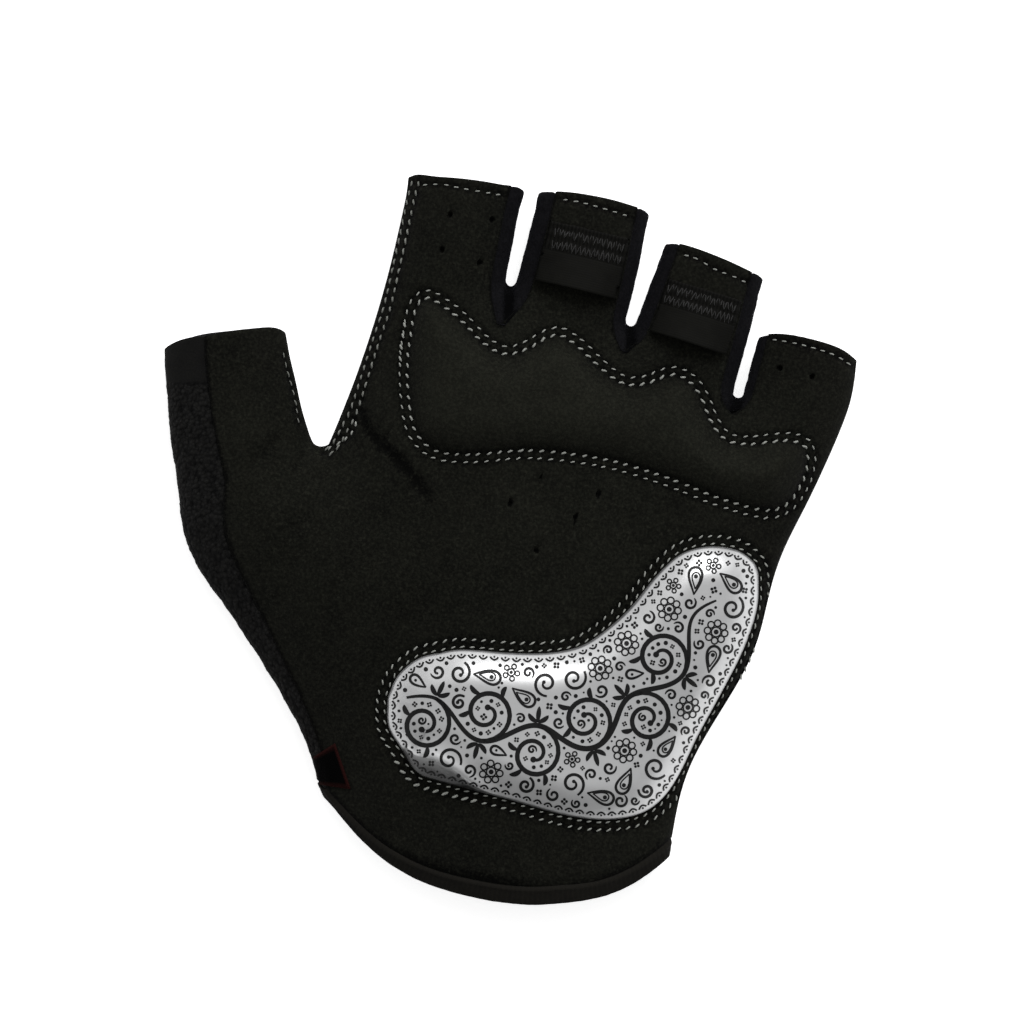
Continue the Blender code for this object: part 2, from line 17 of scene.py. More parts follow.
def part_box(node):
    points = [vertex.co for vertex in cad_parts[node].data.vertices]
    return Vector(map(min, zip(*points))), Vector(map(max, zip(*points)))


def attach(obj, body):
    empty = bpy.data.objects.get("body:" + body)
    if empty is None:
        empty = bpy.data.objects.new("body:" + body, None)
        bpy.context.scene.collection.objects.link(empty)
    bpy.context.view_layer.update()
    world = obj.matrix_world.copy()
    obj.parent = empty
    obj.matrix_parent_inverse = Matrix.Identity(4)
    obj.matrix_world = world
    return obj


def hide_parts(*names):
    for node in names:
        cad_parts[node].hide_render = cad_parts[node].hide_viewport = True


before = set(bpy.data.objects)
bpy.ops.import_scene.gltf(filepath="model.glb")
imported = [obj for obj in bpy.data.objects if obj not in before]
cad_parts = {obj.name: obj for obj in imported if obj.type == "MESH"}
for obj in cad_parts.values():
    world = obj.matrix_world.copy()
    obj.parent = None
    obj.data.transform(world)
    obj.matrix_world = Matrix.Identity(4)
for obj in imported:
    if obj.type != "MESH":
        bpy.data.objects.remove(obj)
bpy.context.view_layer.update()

# Sizes of the pattern, as in the solids
PALM_WIDTH = 0.106
PALM_LENGTH = 0.130
MM = 0.001

# Stitching
ROW_GAP = 1.75 * MM
STITCH_PITCH = 2.45 * MM
STITCH_HALF = 0.74 * MM
THREAD = 0.26 * MM
CHANNEL_WIDTH = 0.85 * MM
CHANNEL_DEPTH = 0.34 * MM
PUCKER_REACH = 1.9 * MM
PUCKER_DEPTH = 0.10 * MM
FINE = 0.25 * MM

# Where the rows run, from the edge of a pad inwards
KNUCKLE_ROWS = (0.85 * MM, 0.85 * MM + ROW_GAP)
HEEL_ROWS = (-0.50 * MM, -0.50 * MM - ROW_GAP)
EDGE_ROWS = (0.95 * MM, 0.95 * MM + 1.55 * MM)

# Pads
KNUCKLE_RISE = 3.5 * MM
KNUCKLE_SHOULDER = 9.0 * MM
HEEL_RISE = 4.6 * MM
HEEL_SHOULDER = 8.5 * MM
PAD_SOLE = 0.9 * MM

# How near a neighbour's cloth is drawn onto it
SEAM_REACH = 1.1 * MM

# Paths over the palm, as shares of its width and length
INDEX_EDGE = (
    (-0.433, 0.771), (-0.437, 0.728), (-0.439, 0.674), (-0.442, 0.619), (-0.447, 0.538), (-0.457, 0.482),
    (-0.470, 0.400), (-0.480, 0.344), (-0.491, 0.316), (-0.503, 0.287), (-0.521, 0.270),
)
INDEX_CORNER = ((-0.453, 0.330), (-0.455, 0.312), (-0.467, 0.296), (-0.484, 0.283), (-0.508, 0.268))
THUMB_EDGE = ((-0.566, 0.305), (-0.588, 0.356), (-0.616, 0.405), (-0.629, 0.431))
HEM_ROWS = {
    "index": ((-0.406, 0.759), (-0.359, 0.766), (-0.322, 0.765), (-0.276, 0.765), (-0.225, 0.766)),
    "middle": ((-0.101, 0.777), (-0.054, 0.777), (0.010, 0.772), (0.054, 0.768)),
    "ring": ((0.177, 0.719), (0.215, 0.714), (0.254, 0.702), (0.299, 0.695), (0.332, 0.688)),
    "little": ((0.399, 0.598), (0.450, 0.598), (0.497, 0.595), (0.546, 0.589), (0.588, 0.576)),
}
VENTS = (
    (-0.039, 0.291), (0.090, 0.275), (-0.094, 0.233), (0.050, 0.228), (-0.021, 0.160),
    (-0.331, 0.716), (-0.239, 0.720), (-0.335, 0.652), (-0.249, 0.642), (0.430, 0.550), (0.503, 0.545),
)
VENT_RADIUS = 0.62 * MM
VENT_DEPTH = 1.1 * MM

# Creases: path, half width and depth
CREASES = (
    (((-0.453, 0.361), (-0.438, 0.336), (-0.423, 0.315), (-0.395, 0.297), (-0.365, 0.282),
      (-0.327, 0.258), (-0.293, 0.235), (-0.261, 0.210)), 0.90 * MM, 1.05 * MM),
    (((-0.604, 0.278), (-0.636, 0.250), (-0.667, 0.213)), 1.7 * MM, 0.45 * MM),
    (((-0.557, 0.263), (-0.561, 0.241), (-0.565, 0.219)), 0.9 * MM, 0.40 * MM),
    (((-0.502, 0.161), (-0.532, 0.139), (-0.567, 0.107)), 2.2 * MM, 0.30 * MM),
    (((-0.20, 0.05), (-0.28, -0.02), (-0.34, -0.11)), 4.0 * MM, 0.35 * MM),
    (((-0.40, 0.14), (-0.44, 0.02), (-0.43, -0.10)), 4.2 * MM, 0.35 * MM),
)
HEEL_FOLD = (
    (-0.231, -0.215), (-0.204, -0.230), (-0.179, -0.231), (-0.144, -0.236), (-0.108, -0.246),
    (-0.080, -0.259), (-0.045, -0.270), (0.010, -0.280), (0.070, -0.286),
)

# Where the cloth lies a little wider or narrower than its pattern: place, move and reach in millimetres
SETTLING = (
    ((-69.8, 59.0), (0.35, 1.25), 4.5),
    ((-65.1, 51.1), (0.75, 0.10), 8.0),
    ((-93.3, 50.5), (-0.60, -0.45), 6.0),
    ((-45.0, 102.6), (-0.70, 1.40), 3.2),
    ((-20.5, 101.3), (0.60, 0.80), 2.6),
    ((-15.3, 101.2), (-0.30, 0.60), 2.2),
    ((8.4, 101.2), (0.55, 0.45), 2.4),
    ((36.9, 91.5), (0.45, 0.20), 2.4),
    ((19.0, -58.0), (0.0, 0.95), 10.0),
    ((-76.0, 4.0), (-0.75, -0.45), 10.0),
    ((-43.5, -39.5), (-0.70, -0.55), 6.0),
    ((52.5, 9.0), (0.65, -0.10), 11.0),
    ((62.7, 67.0), (0.45, 0.10), 7.0),
)

# The towelling's direction and its hem, measured along it
WIPE_LEAN = -10.0
WIPE_HEM = (58.6 * MM, 59.6 * MM)
WIPE_LINE = 58.9 * MM

# How near the rows and the creases the palm gets finer faces, once and then again
ROW_FINER = (2.8 * MM, 1.9 * MM)
CREASE_FINER = (3.4 * MM, 1.8 * MM)

# The side tab: its corners, wall, height over the cloth, and how far it runs on round the edge and drops
TAB = ((-0.420, -0.271), (-0.378, -0.239), (-0.327, -0.314), (-0.396, -0.317))
TAB_WALL = 0.6 * MM
TAB_LIFT = 0.35 * MM
TAB_ROUND = 1.3
TAB_DROP = 9 * MM

# The fold down the middle of each gusset, ending on the palm
FEET = {
    "fourchette_index_middle": ((-0.177, 0.612), (-0.165, 0.537)),
    "fourchette_middle_ring": ((0.095, 0.579), (0.110, 0.530)),
    "fourchette_ring_little": ((0.351, 0.486), (0.353, 0.462)),
}


# Plan paths


def on_palm(shares):
    """Plan points from shares of the palm's width and length."""
    return np.asarray(shares, float) * (PALM_WIDTH, PALM_LENGTH)


def even(points, step):
    """The same line with points a fixed step apart."""
    runs = np.linalg.norm(np.diff(points, axis=0), axis=1)
    along = np.concatenate(([0.0], np.cumsum(runs)))
    wanted = np.linspace(0.0, along[-1], max(2, round(along[-1] / step) + 1))
    return np.column_stack([np.interp(wanted, along, points[:, k]) for k in range(points.shape[1])])


def smooth_path(points, closed=False, step=FINE):
    """A smooth line through the points, with points a small step apart. A closed one repeats its start."""
    points = np.asarray(points, float)
    if closed:
        padded = np.vstack((points[-1], points, points[:2]))
    else:
        padded = np.vstack((2 * points[0] - points[1], points, 2 * points[-1] - points[-2]))
    line = []
    for a, b, c, d in zip(padded, padded[1:], padded[2:], padded[3:]):
        for f in np.linspace(0.0, 1.0, 12, endpoint=False):
            bend = (2 * a - 5 * b + 4 * c - d) * f**2
            line.append(0.5 * (2 * b + (c - a) * f + bend + (3 * b - a - 3 * c + d) * f**3))
    line.append(padded[-2])
    return even(np.array(line), step)


def turned(degrees):
    """The plan direction at an angle from +X."""
    return np.array((math.cos(math.radians(degrees)), math.sin(math.radians(degrees))))


def heading(degrees):
    """The plan direction that leans this far clockwise from +Y."""
    return turned(degrees)[::-1]


def left_of(run):
    """Plan directions turned a quarter to the left."""
    return run[..., ::-1] * (-1.0, 1.0)


def bell(value, width):
    """1 where the value is 0, and softly less over a width."""
    return np.exp(-((value / width) ** 2))


def headings(path, closed=False):
    """Unit directions along a plan path."""
    if closed:
        ring = path[:-1]
        run = np.roll(ring, -1, axis=0) - np.roll(ring, 1, axis=0)
        run = np.vstack((run, run[:1]))
    else:
        run = np.gradient(path, axis=0)
    return run / np.linalg.norm(run, axis=1, keepdims=True)


def shifted(path, distance, closed=False):
    """The path moved to its left by a distance."""
    return even(path + left_of(headings(path, closed)) * distance, FINE)


class Trace:
    """A plan path that can say how far points lie from it and where along it."""

    def __init__(self, path, closed=False):
        self.path = path
        runs = np.linalg.norm(np.diff(path, axis=0), axis=1)
        self.along = np.concatenate(([0.0], np.cumsum(runs)))
        self.length = self.along[-1]
        self.heading = headings(path, closed)
        self.tree = KDTree(len(path))
        for i, point in enumerate(path):
            self.tree.insert((point[0], point[1], 0.0), i)
        self.tree.balance()

    def nearest(self, points, reach=1.0):
        """The index and distance of the closest point of the path, searched within a reach."""
        index = np.zeros(len(points), int)
        away = np.full(len(points), reach)
        low, high = self.path.min(0) - reach, self.path.max(0) + reach
        near = ((points[:, :2] > low) & (points[:, :2] < high)).all(1)
        for i in np.flatnonzero(near):
            _, index[i], away[i] = self.tree.find((points[i, 0], points[i, 1], 0.0))
        return index, away

    def distance(self, points, reach=8 * MM):
        """How far points lie from the path, up to a reach."""
        return self.nearest(points, reach)[1]

    def depth(self, points):
        """Distance to the left of the path, which is inside a closed one, and negative at its right."""
        index, away = self.nearest(points)
        run = self.heading[index]
        offset = points[:, :2] - self.path[index]
        return np.where(run[:, 0] * offset[:, 1] > run[:, 1] * offset[:, 0], away, -away)

    def place(self, s):
        """Plan point and heading at a length along the path."""
        point = np.array([np.interp(s, self.along, self.path[:, k]) for k in (0, 1)])
        run = np.array([np.interp(s, self.along, self.heading[:, k]) for k in (0, 1)])
        return point, run / np.linalg.norm(run)


def eased(value, low, high):
    """Smooth step from 0 at low to 1 at high."""
    t = np.clip((value - low) / (high - low), 0.0, 1.0)
    return t * t * (3 - 2 * t)


# Cloth


def linked(name, data):
    """A new object in the scene."""
    made = bpy.data.objects.new(name, data)
    bpy.context.scene.collection.objects.link(made)
    return made


def from_bmesh(name, bm):
    """A smooth-shaded object of a bmesh, which is freed."""
    mesh = bpy.data.meshes.new(name)
    bm.to_mesh(mesh)
    bm.free()
    mesh.shade_smooth()
    return linked(name, mesh)


def settled(points):
    """Moves points by the small shifts that the cloth has settled into."""
    moved = points.copy()
    for place, shift, reach in SETTLING:
        away = np.linalg.norm(points[:, :2] - np.array(place) * MM, axis=1)
        moved[:, :2] += np.array(shift) * MM * bell(away, reach * MM)[:, None]
    return moved


def rounded_copy(node, levels=2, hold=0.8, settle=True):
    """A new mesh of the node's shape, merged and rounded by subdivision, with its sharp edges held."""
    bm = bmesh.new()
    bm.from_mesh(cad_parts[node].data)
    bmesh.ops.remove_doubles(bm, verts=bm.verts, dist=1e-6)
    bmesh.ops.join_triangles(bm, faces=bm.faces, angle_face_threshold=0.7, angle_shape_threshold=0.7)
    crease = bm.edges.layers.float.new("crease_edge")
    for edge in bm.edges:
        if edge.calc_face_angle(0.0) > math.radians(48):
            edge[crease] = hold
    for face in bm.faces:
        face.material_index = 0
    made = from_bmesh(node + "_cloth", bm)
    made.data.materials.clear()
    subdivide = made.modifiers.new("rounding", "SUBSURF")
    subdivide.levels = levels
    subdivide.render_levels = levels
    bpy.context.view_layer.update()
    mesh = bpy.data.meshes.new_from_object(made.evaluated_get(bpy.context.evaluated_depsgraph_get()))
    made.modifiers.clear()
    made.data = mesh
    if settle:
        set_vertices(made, settled(vertices_of(made)[0]))
    return made


def read(data, name, columns, kind=np.float32):
    """A table of some property of all vertices or edges."""
    values = np.empty(len(data) * columns, kind)
    data.foreach_get(name, values)
    return values.reshape(-1, columns)


def vertices_of(piece):
    """The points and normals of a piece."""
    tables = (piece.data.vertices, "co"), (piece.data.vertex_normals, "vector")
    return [read(data, name, 3).astype(float) for data, name in tables]


def set_vertices(piece, points, lowest=-1.0):
    """Moves the vertices to the points, which are first raised to a lowest height."""
    points[:, 2] = np.maximum(points[:, 2], lowest)
    piece.data.vertices.foreach_set("co", points.astype(np.float32).ravel())
    piece.data.update()


def evened(piece, values):
    """Values for each vertex, softened over the mesh."""
    a, b = read(piece.data.edges, "vertices", 2, np.int32).T
    count = np.bincount(a, minlength=len(values)) + np.bincount(b, minlength=len(values))
    for _ in range(3):
        around = np.bincount(a, values[b], len(values)) + np.bincount(b, values[a], len(values))
        values = (values + around / np.maximum(count, 1)) / 2
    return values


def set_tone(piece, name, values):
    """A number for each vertex that the finish reads."""
    attribute = piece.data.attributes.get(name) or piece.data.attributes.new(name, "FLOAT", "POINT")
    attribute.data.foreach_set("value", np.asarray(values, np.float32))


def refine(piece, wanted, passes=1):
    """Splits the faces whose middle is wanted, so that fine relief has points to move."""
    for _ in range(passes):
        bm = bmesh.new()
        bm.from_mesh(piece.data)
        bm.normal_update()
        faces = bm.faces[:]
        middles = np.array([f.calc_center_median() for f in faces])
        normals = np.array([f.normal for f in faces])
        chosen = wanted(middles, normals)
        edges = {e for f, yes in zip(faces, chosen) if yes for e in f.edges}
        bmesh.ops.subdivide_edges(bm, edges=list(edges), cuts=1, use_grid_fill=True)
        bm.to_mesh(piece.data)
        bm.free()
        piece.data.shade_smooth()


def roughness_noise(points, size, seed=0.0):
    """Soft noise from -1 to 1 with lumps of a size."""
    return np.array([noise.noise(Vector(p)) for p in points / size + (seed, 0.0, 0.0)])


class Ground:
    """What stitches and prints are laid on: the top of some pieces."""

    def __init__(self, *pieces):
        points, faces = [], []
        for piece in pieces:
            own = vertices_of(piece)[0]
            start = sum(len(p) for p in points)
            points.append(own)
            faces += [[start + v for v in polygon.vertices] for polygon in piece.data.polygons]
        self.tree = BVHTree.FromPolygons([Vector(p) for group in points for p in group], faces)
        self.low = np.min([group.min(0) for group in points], axis=0)
        self.high = np.max([group.max(0) for group in points], axis=0)

    def drop(self, x, y):
        """The highest point over a plan point, and its normal."""
        hit, normal, _, _ = self.tree.ray_cast(Vector((x, y, 0.1)), Vector((0.0, 0.0, -1.0)))
        return hit, normal

    def heights(self, plan, fallback=0.0):
        """The ground's height at each plan point, or the fallback beside it."""
        hits = [self.drop(x, y)[0] for x, y in plan]
        return np.array([fallback if hit is None else hit.z for hit in hits])

    def near(self, points, reach):
        """The closest points on this ground within a reach, and how far they are."""
        closest = points.copy()
        away = np.full(len(points), reach)
        low = np.array(self.low) - reach
        high = np.array(self.high) + reach
        for i in np.flatnonzero(((points > low) & (points < high)).all(1)):
            place, _, _, gap = self.tree.find_nearest(Vector(points[i]), reach)
            if place is not None:
                closest[i] = place
                away[i] = gap
        return closest, away


def snug(points, *grounds):
    """Draws points onto each cloth that they are sewn to, and says how close they were to the last."""
    for ground in grounds:
        closest, away = ground.near(points, SEAM_REACH)
        pull = 1.0 - eased(away, 0.55 * SEAM_REACH, SEAM_REACH)
        points = points + (closest - points) * pull[:, None]
    return points, bell(away, 0.45 * MM) * (away < SEAM_REACH)


def top_outline(node):
    """The plan outline of a node's upper side, anticlockwise, as a closed smooth path."""
    bm = bmesh.new()
    bm.from_mesh(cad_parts[node].data)
    bmesh.ops.remove_doubles(bm, verts=bm.verts, dist=1e-6)
    bm.normal_update()
    top = {f for f in bm.faces if f.normal.z > 0.3}
    rim = {e for e in bm.edges if sum(f in top for f in e.link_faces) == 1}
    edge = min(rim, key=lambda e: e.verts[0].co.x)
    vert = edge.verts[0]
    walk = []
    while edge is not None:
        walk.append(vert.co.copy())
        rim.discard(edge)
        vert = edge.other_vert(vert)
        edge = next((e for e in vert.link_edges if e in rim), None)
    bm.free()
    ring = np.array(walk)[:, :2]
    following = np.roll(ring, -1, axis=0)
    if (ring[:, 0] * following[:, 1] - following[:, 0] * ring[:, 1]).sum() < 0:
        ring = ring[::-1]
    return smooth_path(ring, closed=True)


# The seams and rows

knuckle_edge = Trace(top_outline("knuckle_pad"), closed=True)
heel_edge = Trace(top_outline("heel_pad"), closed=True)


def pad_rows(edge, offsets):
    """Rows that follow a pad's edge."""
    return [Trace(shifted(edge.path, offset, closed=True), closed=True) for offset in offsets]


def open_row(shares, offset=0.0):
    """A row between two ends, moved to its left by an offset."""
    return Trace(shifted(smooth_path(on_palm(shares)), offset))


knuckle_rows = pad_rows(knuckle_edge, KNUCKLE_ROWS)
heel_rows = pad_rows(heel_edge, HEEL_ROWS)
edge_rows = [open_row(INDEX_EDGE, offset) for offset in EDGE_ROWS]
corner_row = open_row(INDEX_CORNER)
thumb_row = open_row(THUMB_EDGE, 1.0 * MM)
hem_rows = {name: open_row(shares) for name, shares in HEM_ROWS.items()}
heel_fold = Trace(smooth_path(on_palm(HEEL_FOLD)))
creases = [(Trace(smooth_path(on_palm(shares))), width, depth) for shares, width, depth in CREASES]
all_rows = [*knuckle_rows, *heel_rows, *edge_rows, corner_row, thumb_row, *hem_rows.values()]
vents = on_palm(VENTS)


def row_relief(plan):
    """Channels pulled in along the stitched rows, with puckers, and the shade painted into them."""
    move = np.zeros(len(plan))
    painted_shade = np.zeros(len(plan))
    for row in all_rows:
        index, away = row.nearest(plan, 6 * MM)
        pull = bell(away, CHANNEL_WIDTH)
        ripple = np.cos(2 * math.pi * row.along[index] / STITCH_PITCH)
        move -= CHANNEL_DEPTH * pull
        move += PUCKER_DEPTH * ripple * bell(away, PUCKER_REACH)
        # Painted shade in each channel, less where the puckers rise.
        painted_shade = np.maximum(painted_shade, pull * (0.75 - 0.25 * ripple))
    return np.maximum(move, -1.6 * CHANNEL_DEPTH), painted_shade


def crease_relief(plan):
    """Sharp valleys with cloth swelling beside them, and the shade painted into the valleys."""
    move = np.zeros(len(plan))
    painted_shade = np.zeros(len(plan))
    for crease, width, depth in creases:
        index, away = crease.nearest(plan, 18 * MM)
        share = crease.along[index] / crease.length
        fade = np.sin(math.pi * np.clip(share * 0.9 + 0.05, 0, 1)) ** 0.7
        valley = bell(away, width) * fade
        swell = bell(away - 3.0 * width, 2.2 * width) * fade
        move += depth * (0.35 * swell - valley)
        # Painted shade in the valley, stronger for deeper creases.
        painted_shade = np.maximum(painted_shade, valley * min(1.0, depth / MM) ** 2)
    return move, painted_shade


def cloth_relief(points):
    """Broad unevenness of the suede."""
    flat = points * (1.0, 1.0, 0.4)
    broad = 0.30 * roughness_noise(flat, 17 * MM, 3.1)
    return (broad + 0.14 * roughness_noise(flat, 7 * MM, 9.4)) * MM


def near_rows(reach, rows):
    """For refine: the faces of the upper side within a reach of some rows."""
    def wanted(middles, normals):
        close = np.zeros(len(middles), bool)
        for row in rows:
            close |= row.distance(middles[:, :2]) < reach
        return close & (normals[:, 2] > 0.15)

    return wanted


def near_vents(middles, normals):
    away = np.linalg.norm(middles[:, None, :2] - vents[None], axis=2).min(1)
    return (away < 2.2 * VENT_RADIUS) & (normals[:, 2] > 0.3)


# Finishes


class Value:
    """A socket of a finish, for use in Python expressions."""

    def __init__(self, finish, socket):
        self.finish = finish
        self.socket = socket

    def maths(self, operation, *values):
        return self.finish.node("ShaderNodeMath", {"operation": operation}, dict(enumerate(values)))

    def __add__(self, other):
        return self.maths("ADD", self, other)

    def __sub__(self, other):
        return self.maths("SUBTRACT", self, other)

    def __rsub__(self, other):
        return self.maths("SUBTRACT", other, self)

    def __mul__(self, other):
        return self.maths("MULTIPLY", self, other)

    __radd__ = __add__
    __rmul__ = __mul__

    def limited(self, most):
        """The value kept between 0 and the most."""
        return self.maths("MINIMUM", self.maths("MAXIMUM", self, 0.0), most)

    def wave(self, pitch):
        """Ribs between 0 and 1 along the value."""
        return 0.5 + 0.5 * self.maths("SINE", self * (2 * math.pi / pitch))


class Finish:
    """A material or a world whose nodes are written as expressions."""

    def __init__(self, name, kind="materials", shader="Principled BSDF", **sockets):
        self.made = getattr(bpy.data, kind).new(name)
        self.made.use_nodes = True
        self.tree = self.made.node_tree
        self.shader = self.tree.nodes[shader]
        for key, value in sockets.items():
            self.shader.inputs[key.replace("_", " ")].default_value = value

    def node(self, kind, settings=None, inputs=None, output=0):
        """Adds a node: its settings first, then the values or links of its sockets."""
        made = self.tree.nodes.new(kind)
        for key, value in (settings or {}).items():
            setattr(made, key, value)
        for key, value in (inputs or {}).items():
            if isinstance(value, Value):
                self.tree.links.new(value.socket, made.inputs[key])
            else:
                made.inputs[key].default_value = value
        return Value(self, made.outputs[output])

    def coordinates(self, turn=0.0, centre=(0.0, 0.0, 0.0), stretch=(1.0, 1.0, 1.0)):
        """Object coordinates, or those turned by some degrees about a centre and stretched."""
        place = self.node("ShaderNodeTexCoord", output="Object")
        if not turn:
            return place
        scale = tuple(1 / s for s in stretch)
        angles = (0.0, 0.0, math.radians(turn))
        inputs = {"Vector": place, "Location": centre, "Rotation": angles, "Scale": scale}
        return self.node("ShaderNodeMapping", {"vector_type": "TEXTURE"}, inputs)

    def axis(self, vector, name):
        return self.node("ShaderNodeSeparateXYZ", None, {"Vector": vector}, output=name)

    def noise(self, where, scale, detail=2.0, roughness=0.5):
        inputs = {"Vector": where, "Scale": scale, "Detail": detail, "Roughness": roughness}
        return self.node("ShaderNodeTexNoise", None, inputs, output="Fac")

    def tone(self, name):
        return self.node("ShaderNodeAttribute", {"attribute_name": name}, output="Fac")

    def step(self, value, low, high):
        inputs = {"Value": value, "From Min": low, "From Max": high}
        return self.node("ShaderNodeMapRange", {"interpolation_type": "SMOOTHSTEP"}, inputs)

    def blend(self, factor, first, second):
        inputs = {0: factor}
        for key, value in ((6, first), (7, second)):
            inputs[key] = value if isinstance(value, Value) else (*value, 1.0)
        return self.node("ShaderNodeMix", {"data_type": "RGBA"}, inputs, output=2)

    def wear(self, **values):
        """Links what varies to the shader. A relief is its height, strength and depth."""
        if "relief" in values:
            inputs = dict(zip(("Height", "Strength", "Distance"), values.pop("relief")))
            values["Normal"] = self.node("ShaderNodeBump", None, inputs)
        for key, value in values.items():
            self.tree.links.new(value.socket, self.shader.inputs[key.replace("_", " ")])
        return self.made


def suede_finish():
    made = Finish("suede", Specular_IOR_Level=0.04, Sheen_Weight=0.015, Sheen_Roughness=0.5)
    place = made.coordinates()
    broad = made.noise(place, 55.0)
    patch = made.noise(place, 260.0, 3.0, 0.6)
    nap = made.noise(place, 1500.0, 3.0, 0.65)
    fibre = made.noise(made.coordinates(38.0, stretch=(1.0, 3.2, 1.0)), 2600.0, 2.0, 0.6)
    speck = made.step(made.noise(place, 1250.0, 1.0), 0.55, 0.78)
    light = -0.15 + 0.35 * broad + 0.40 * patch + 0.55 * made.step(nap, 0.35, 0.75)
    # Tone of the suede, less the painted shade of rows, creases, seams and vents.
    light = light + 0.45 * speck + 0.35 * made.tone("tone_and_painted_highlight") - 0.95 * made.tone("painted_shade")
    colour = made.blend(light.limited(1.6), (0.0010, 0.0010, 0.0008), (0.0103, 0.0106, 0.0078))
    relief = (0.6 * nap + 0.4 * fibre, 0.55, 0.25 * MM)
    return made.wear(Base_Color=colour, Roughness=0.88 + 0.10 * patch, relief=relief)


def gusset_finish():
    made = Finish("stretch_knit", Specular_IOR_Level=0.03, Sheen_Weight=0.02, Sheen_Roughness=0.45,
                  Sheen_Tint=(0.8, 0.8, 1.0, 1.0))
    place = made.coordinates()
    fuzz = made.noise(place, 1700.0, 3.0, 0.7)
    lumps = made.noise(place, 420.0)
    rib = made.noise(made.coordinates(8.0, stretch=(4.0, 1.0, 1.0)), 900.0)
    # Knit tone, less the painted shade of the fold, the foot and the seams.
    light = 0.15 + 0.55 * made.step(fuzz, 0.3, 0.75) + 0.35 * lumps + 0.25 * rib - made.tone("painted_shade")
    colour = made.blend(light.limited(1.4), (0.0003, 0.0003, 0.0004), (0.0056, 0.0055, 0.0064))
    relief = (0.6 * fuzz + 0.4 * rib, 0.7, 0.3 * MM)
    return made.wear(Base_Color=colour, Roughness=0.8 + 0.15 * fuzz, relief=relief)


def terry_finish():
    made = Finish("terry", Specular_IOR_Level=0.03, Sheen_Weight=0.03, Sheen_Roughness=0.6)
    place = made.coordinates()
    loops = made.node("ShaderNodeTexVoronoi", None, {"Vector": place, "Scale": 1150.0}, output="Distance")
    threads = made.noise(place, 2600.0)
    lumps = made.noise(place, 330.0)
    hem = made.tone("hem")
    plain = 0.45 * threads + 0.3 * lumps
    # Lighter in each loop's middle with painted shade between the loops; the piece's painted shade is
    # taken off below.
    towel = 0.95 - 0.95 * loops + 0.35 * threads + 0.45 * lumps - 0.40
    light = hem * plain + (1.0 - hem) * towel - 0.9 * made.tone("painted_shade")
    colour = made.blend(light.limited(1.3), (0.0006, 0.0006, 0.0006), (0.0096, 0.0094, 0.0088))
    relief = ((1.0 - hem) * (1.0 - loops) + 0.25 * threads, 0.8, 0.4 * MM)
    return made.wear(Base_Color=colour, Roughness=0.92 + 0.06 * lumps, relief=relief)


def silver_finish():
    made = Finish("printed_silver", Metallic=0.6, IOR=1.5, Coat_Weight=0.3, Coat_Roughness=0.2)
    place = made.coordinates()
    grain = made.noise(place, 2200.0)
    cloud = made.noise(place, 140.0, 3.0)
    streaks = made.noise(made.coordinates(33.0, stretch=(5.0, 1.0, 1.0)), 520.0, 3.0, 0.7)
    scuffs = made.step(streaks, 0.60, 0.80)
    # Darker silver in patches towards the pad's edge.
    darker_edge = made.step(made.tone("tone_and_painted_highlight") + 0.5 * cloud, 0.75, 1.1)
    silver = made.blend(cloud, (0.425, 0.428, 0.431), (0.500, 0.502, 0.505))
    silver = made.blend(0.25 * scuffs, silver, (0.42, 0.42, 0.425))
    silver = made.blend(0.55 * darker_edge, silver, (0.20, 0.20, 0.205))
    # Painted shade under the fold, along the seam and at the rim, near black.
    silver = made.blend(made.tone("painted_shade"), silver, (0.012, 0.012, 0.012))
    relief = (0.5 * grain + 0.5 * made.noise(place, 600.0), 0.12, 0.15 * MM)
    return made.wear(Base_Color=silver, Roughness=0.30 + 0.10 * cloud + 0.12 * scuffs, relief=relief)


def ink_finish():
    made = Finish("black_print", Specular_IOR_Level=0.15, Coat_Weight=0.02, Coat_Roughness=0.3)
    grain = made.noise(made.coordinates(), 1400.0, 3.0, 0.6)
    colour = made.blend(grain, (0.0020, 0.0020, 0.0022), (0.0080, 0.0080, 0.0082))
    return made.wear(Base_Color=colour, Roughness=0.38 + 0.15 * grain, relief=(grain, 0.1, 0.1 * MM))


def elastic_finish():
    """Fine cords that run across the band, with painted shade at its seam and a painted highlight on its
    rolled ridge.
    """
    made = Finish("elastic", Specular_IOR_Level=0.05, Sheen_Weight=0.02, Sheen_Roughness=0.5)
    place = made.coordinates()
    x, y = (made.axis(place, name) for name in "XY")
    turn = made.node("ShaderNodeMath", {"operation": "ARCTAN2"}, {0: x, 1: 0.03 - y})
    cords = turn.wave(2 * math.pi / 480.0)
    threads = made.noise(place, 1900.0, 3.0, 0.6)
    lumps = made.noise(place, 300.0)
    light = 0.12 + 0.12 * cords + 0.60 * threads + 0.25 * lumps
    # A painted highlight on the rolled ridge, less the painted shade along the seam.
    light = light + 0.45 * made.tone("tone_and_painted_highlight") - made.tone("painted_shade")
    colour = made.blend(light.limited(1.2), (0.0006, 0.0006, 0.0005), (0.0070, 0.0064, 0.0052))
    relief = (0.3 * cords + 0.6 * threads, 0.5, 0.25 * MM)
    return made.wear(Base_Color=colour, Roughness=0.82 + 0.1 * threads, relief=relief)


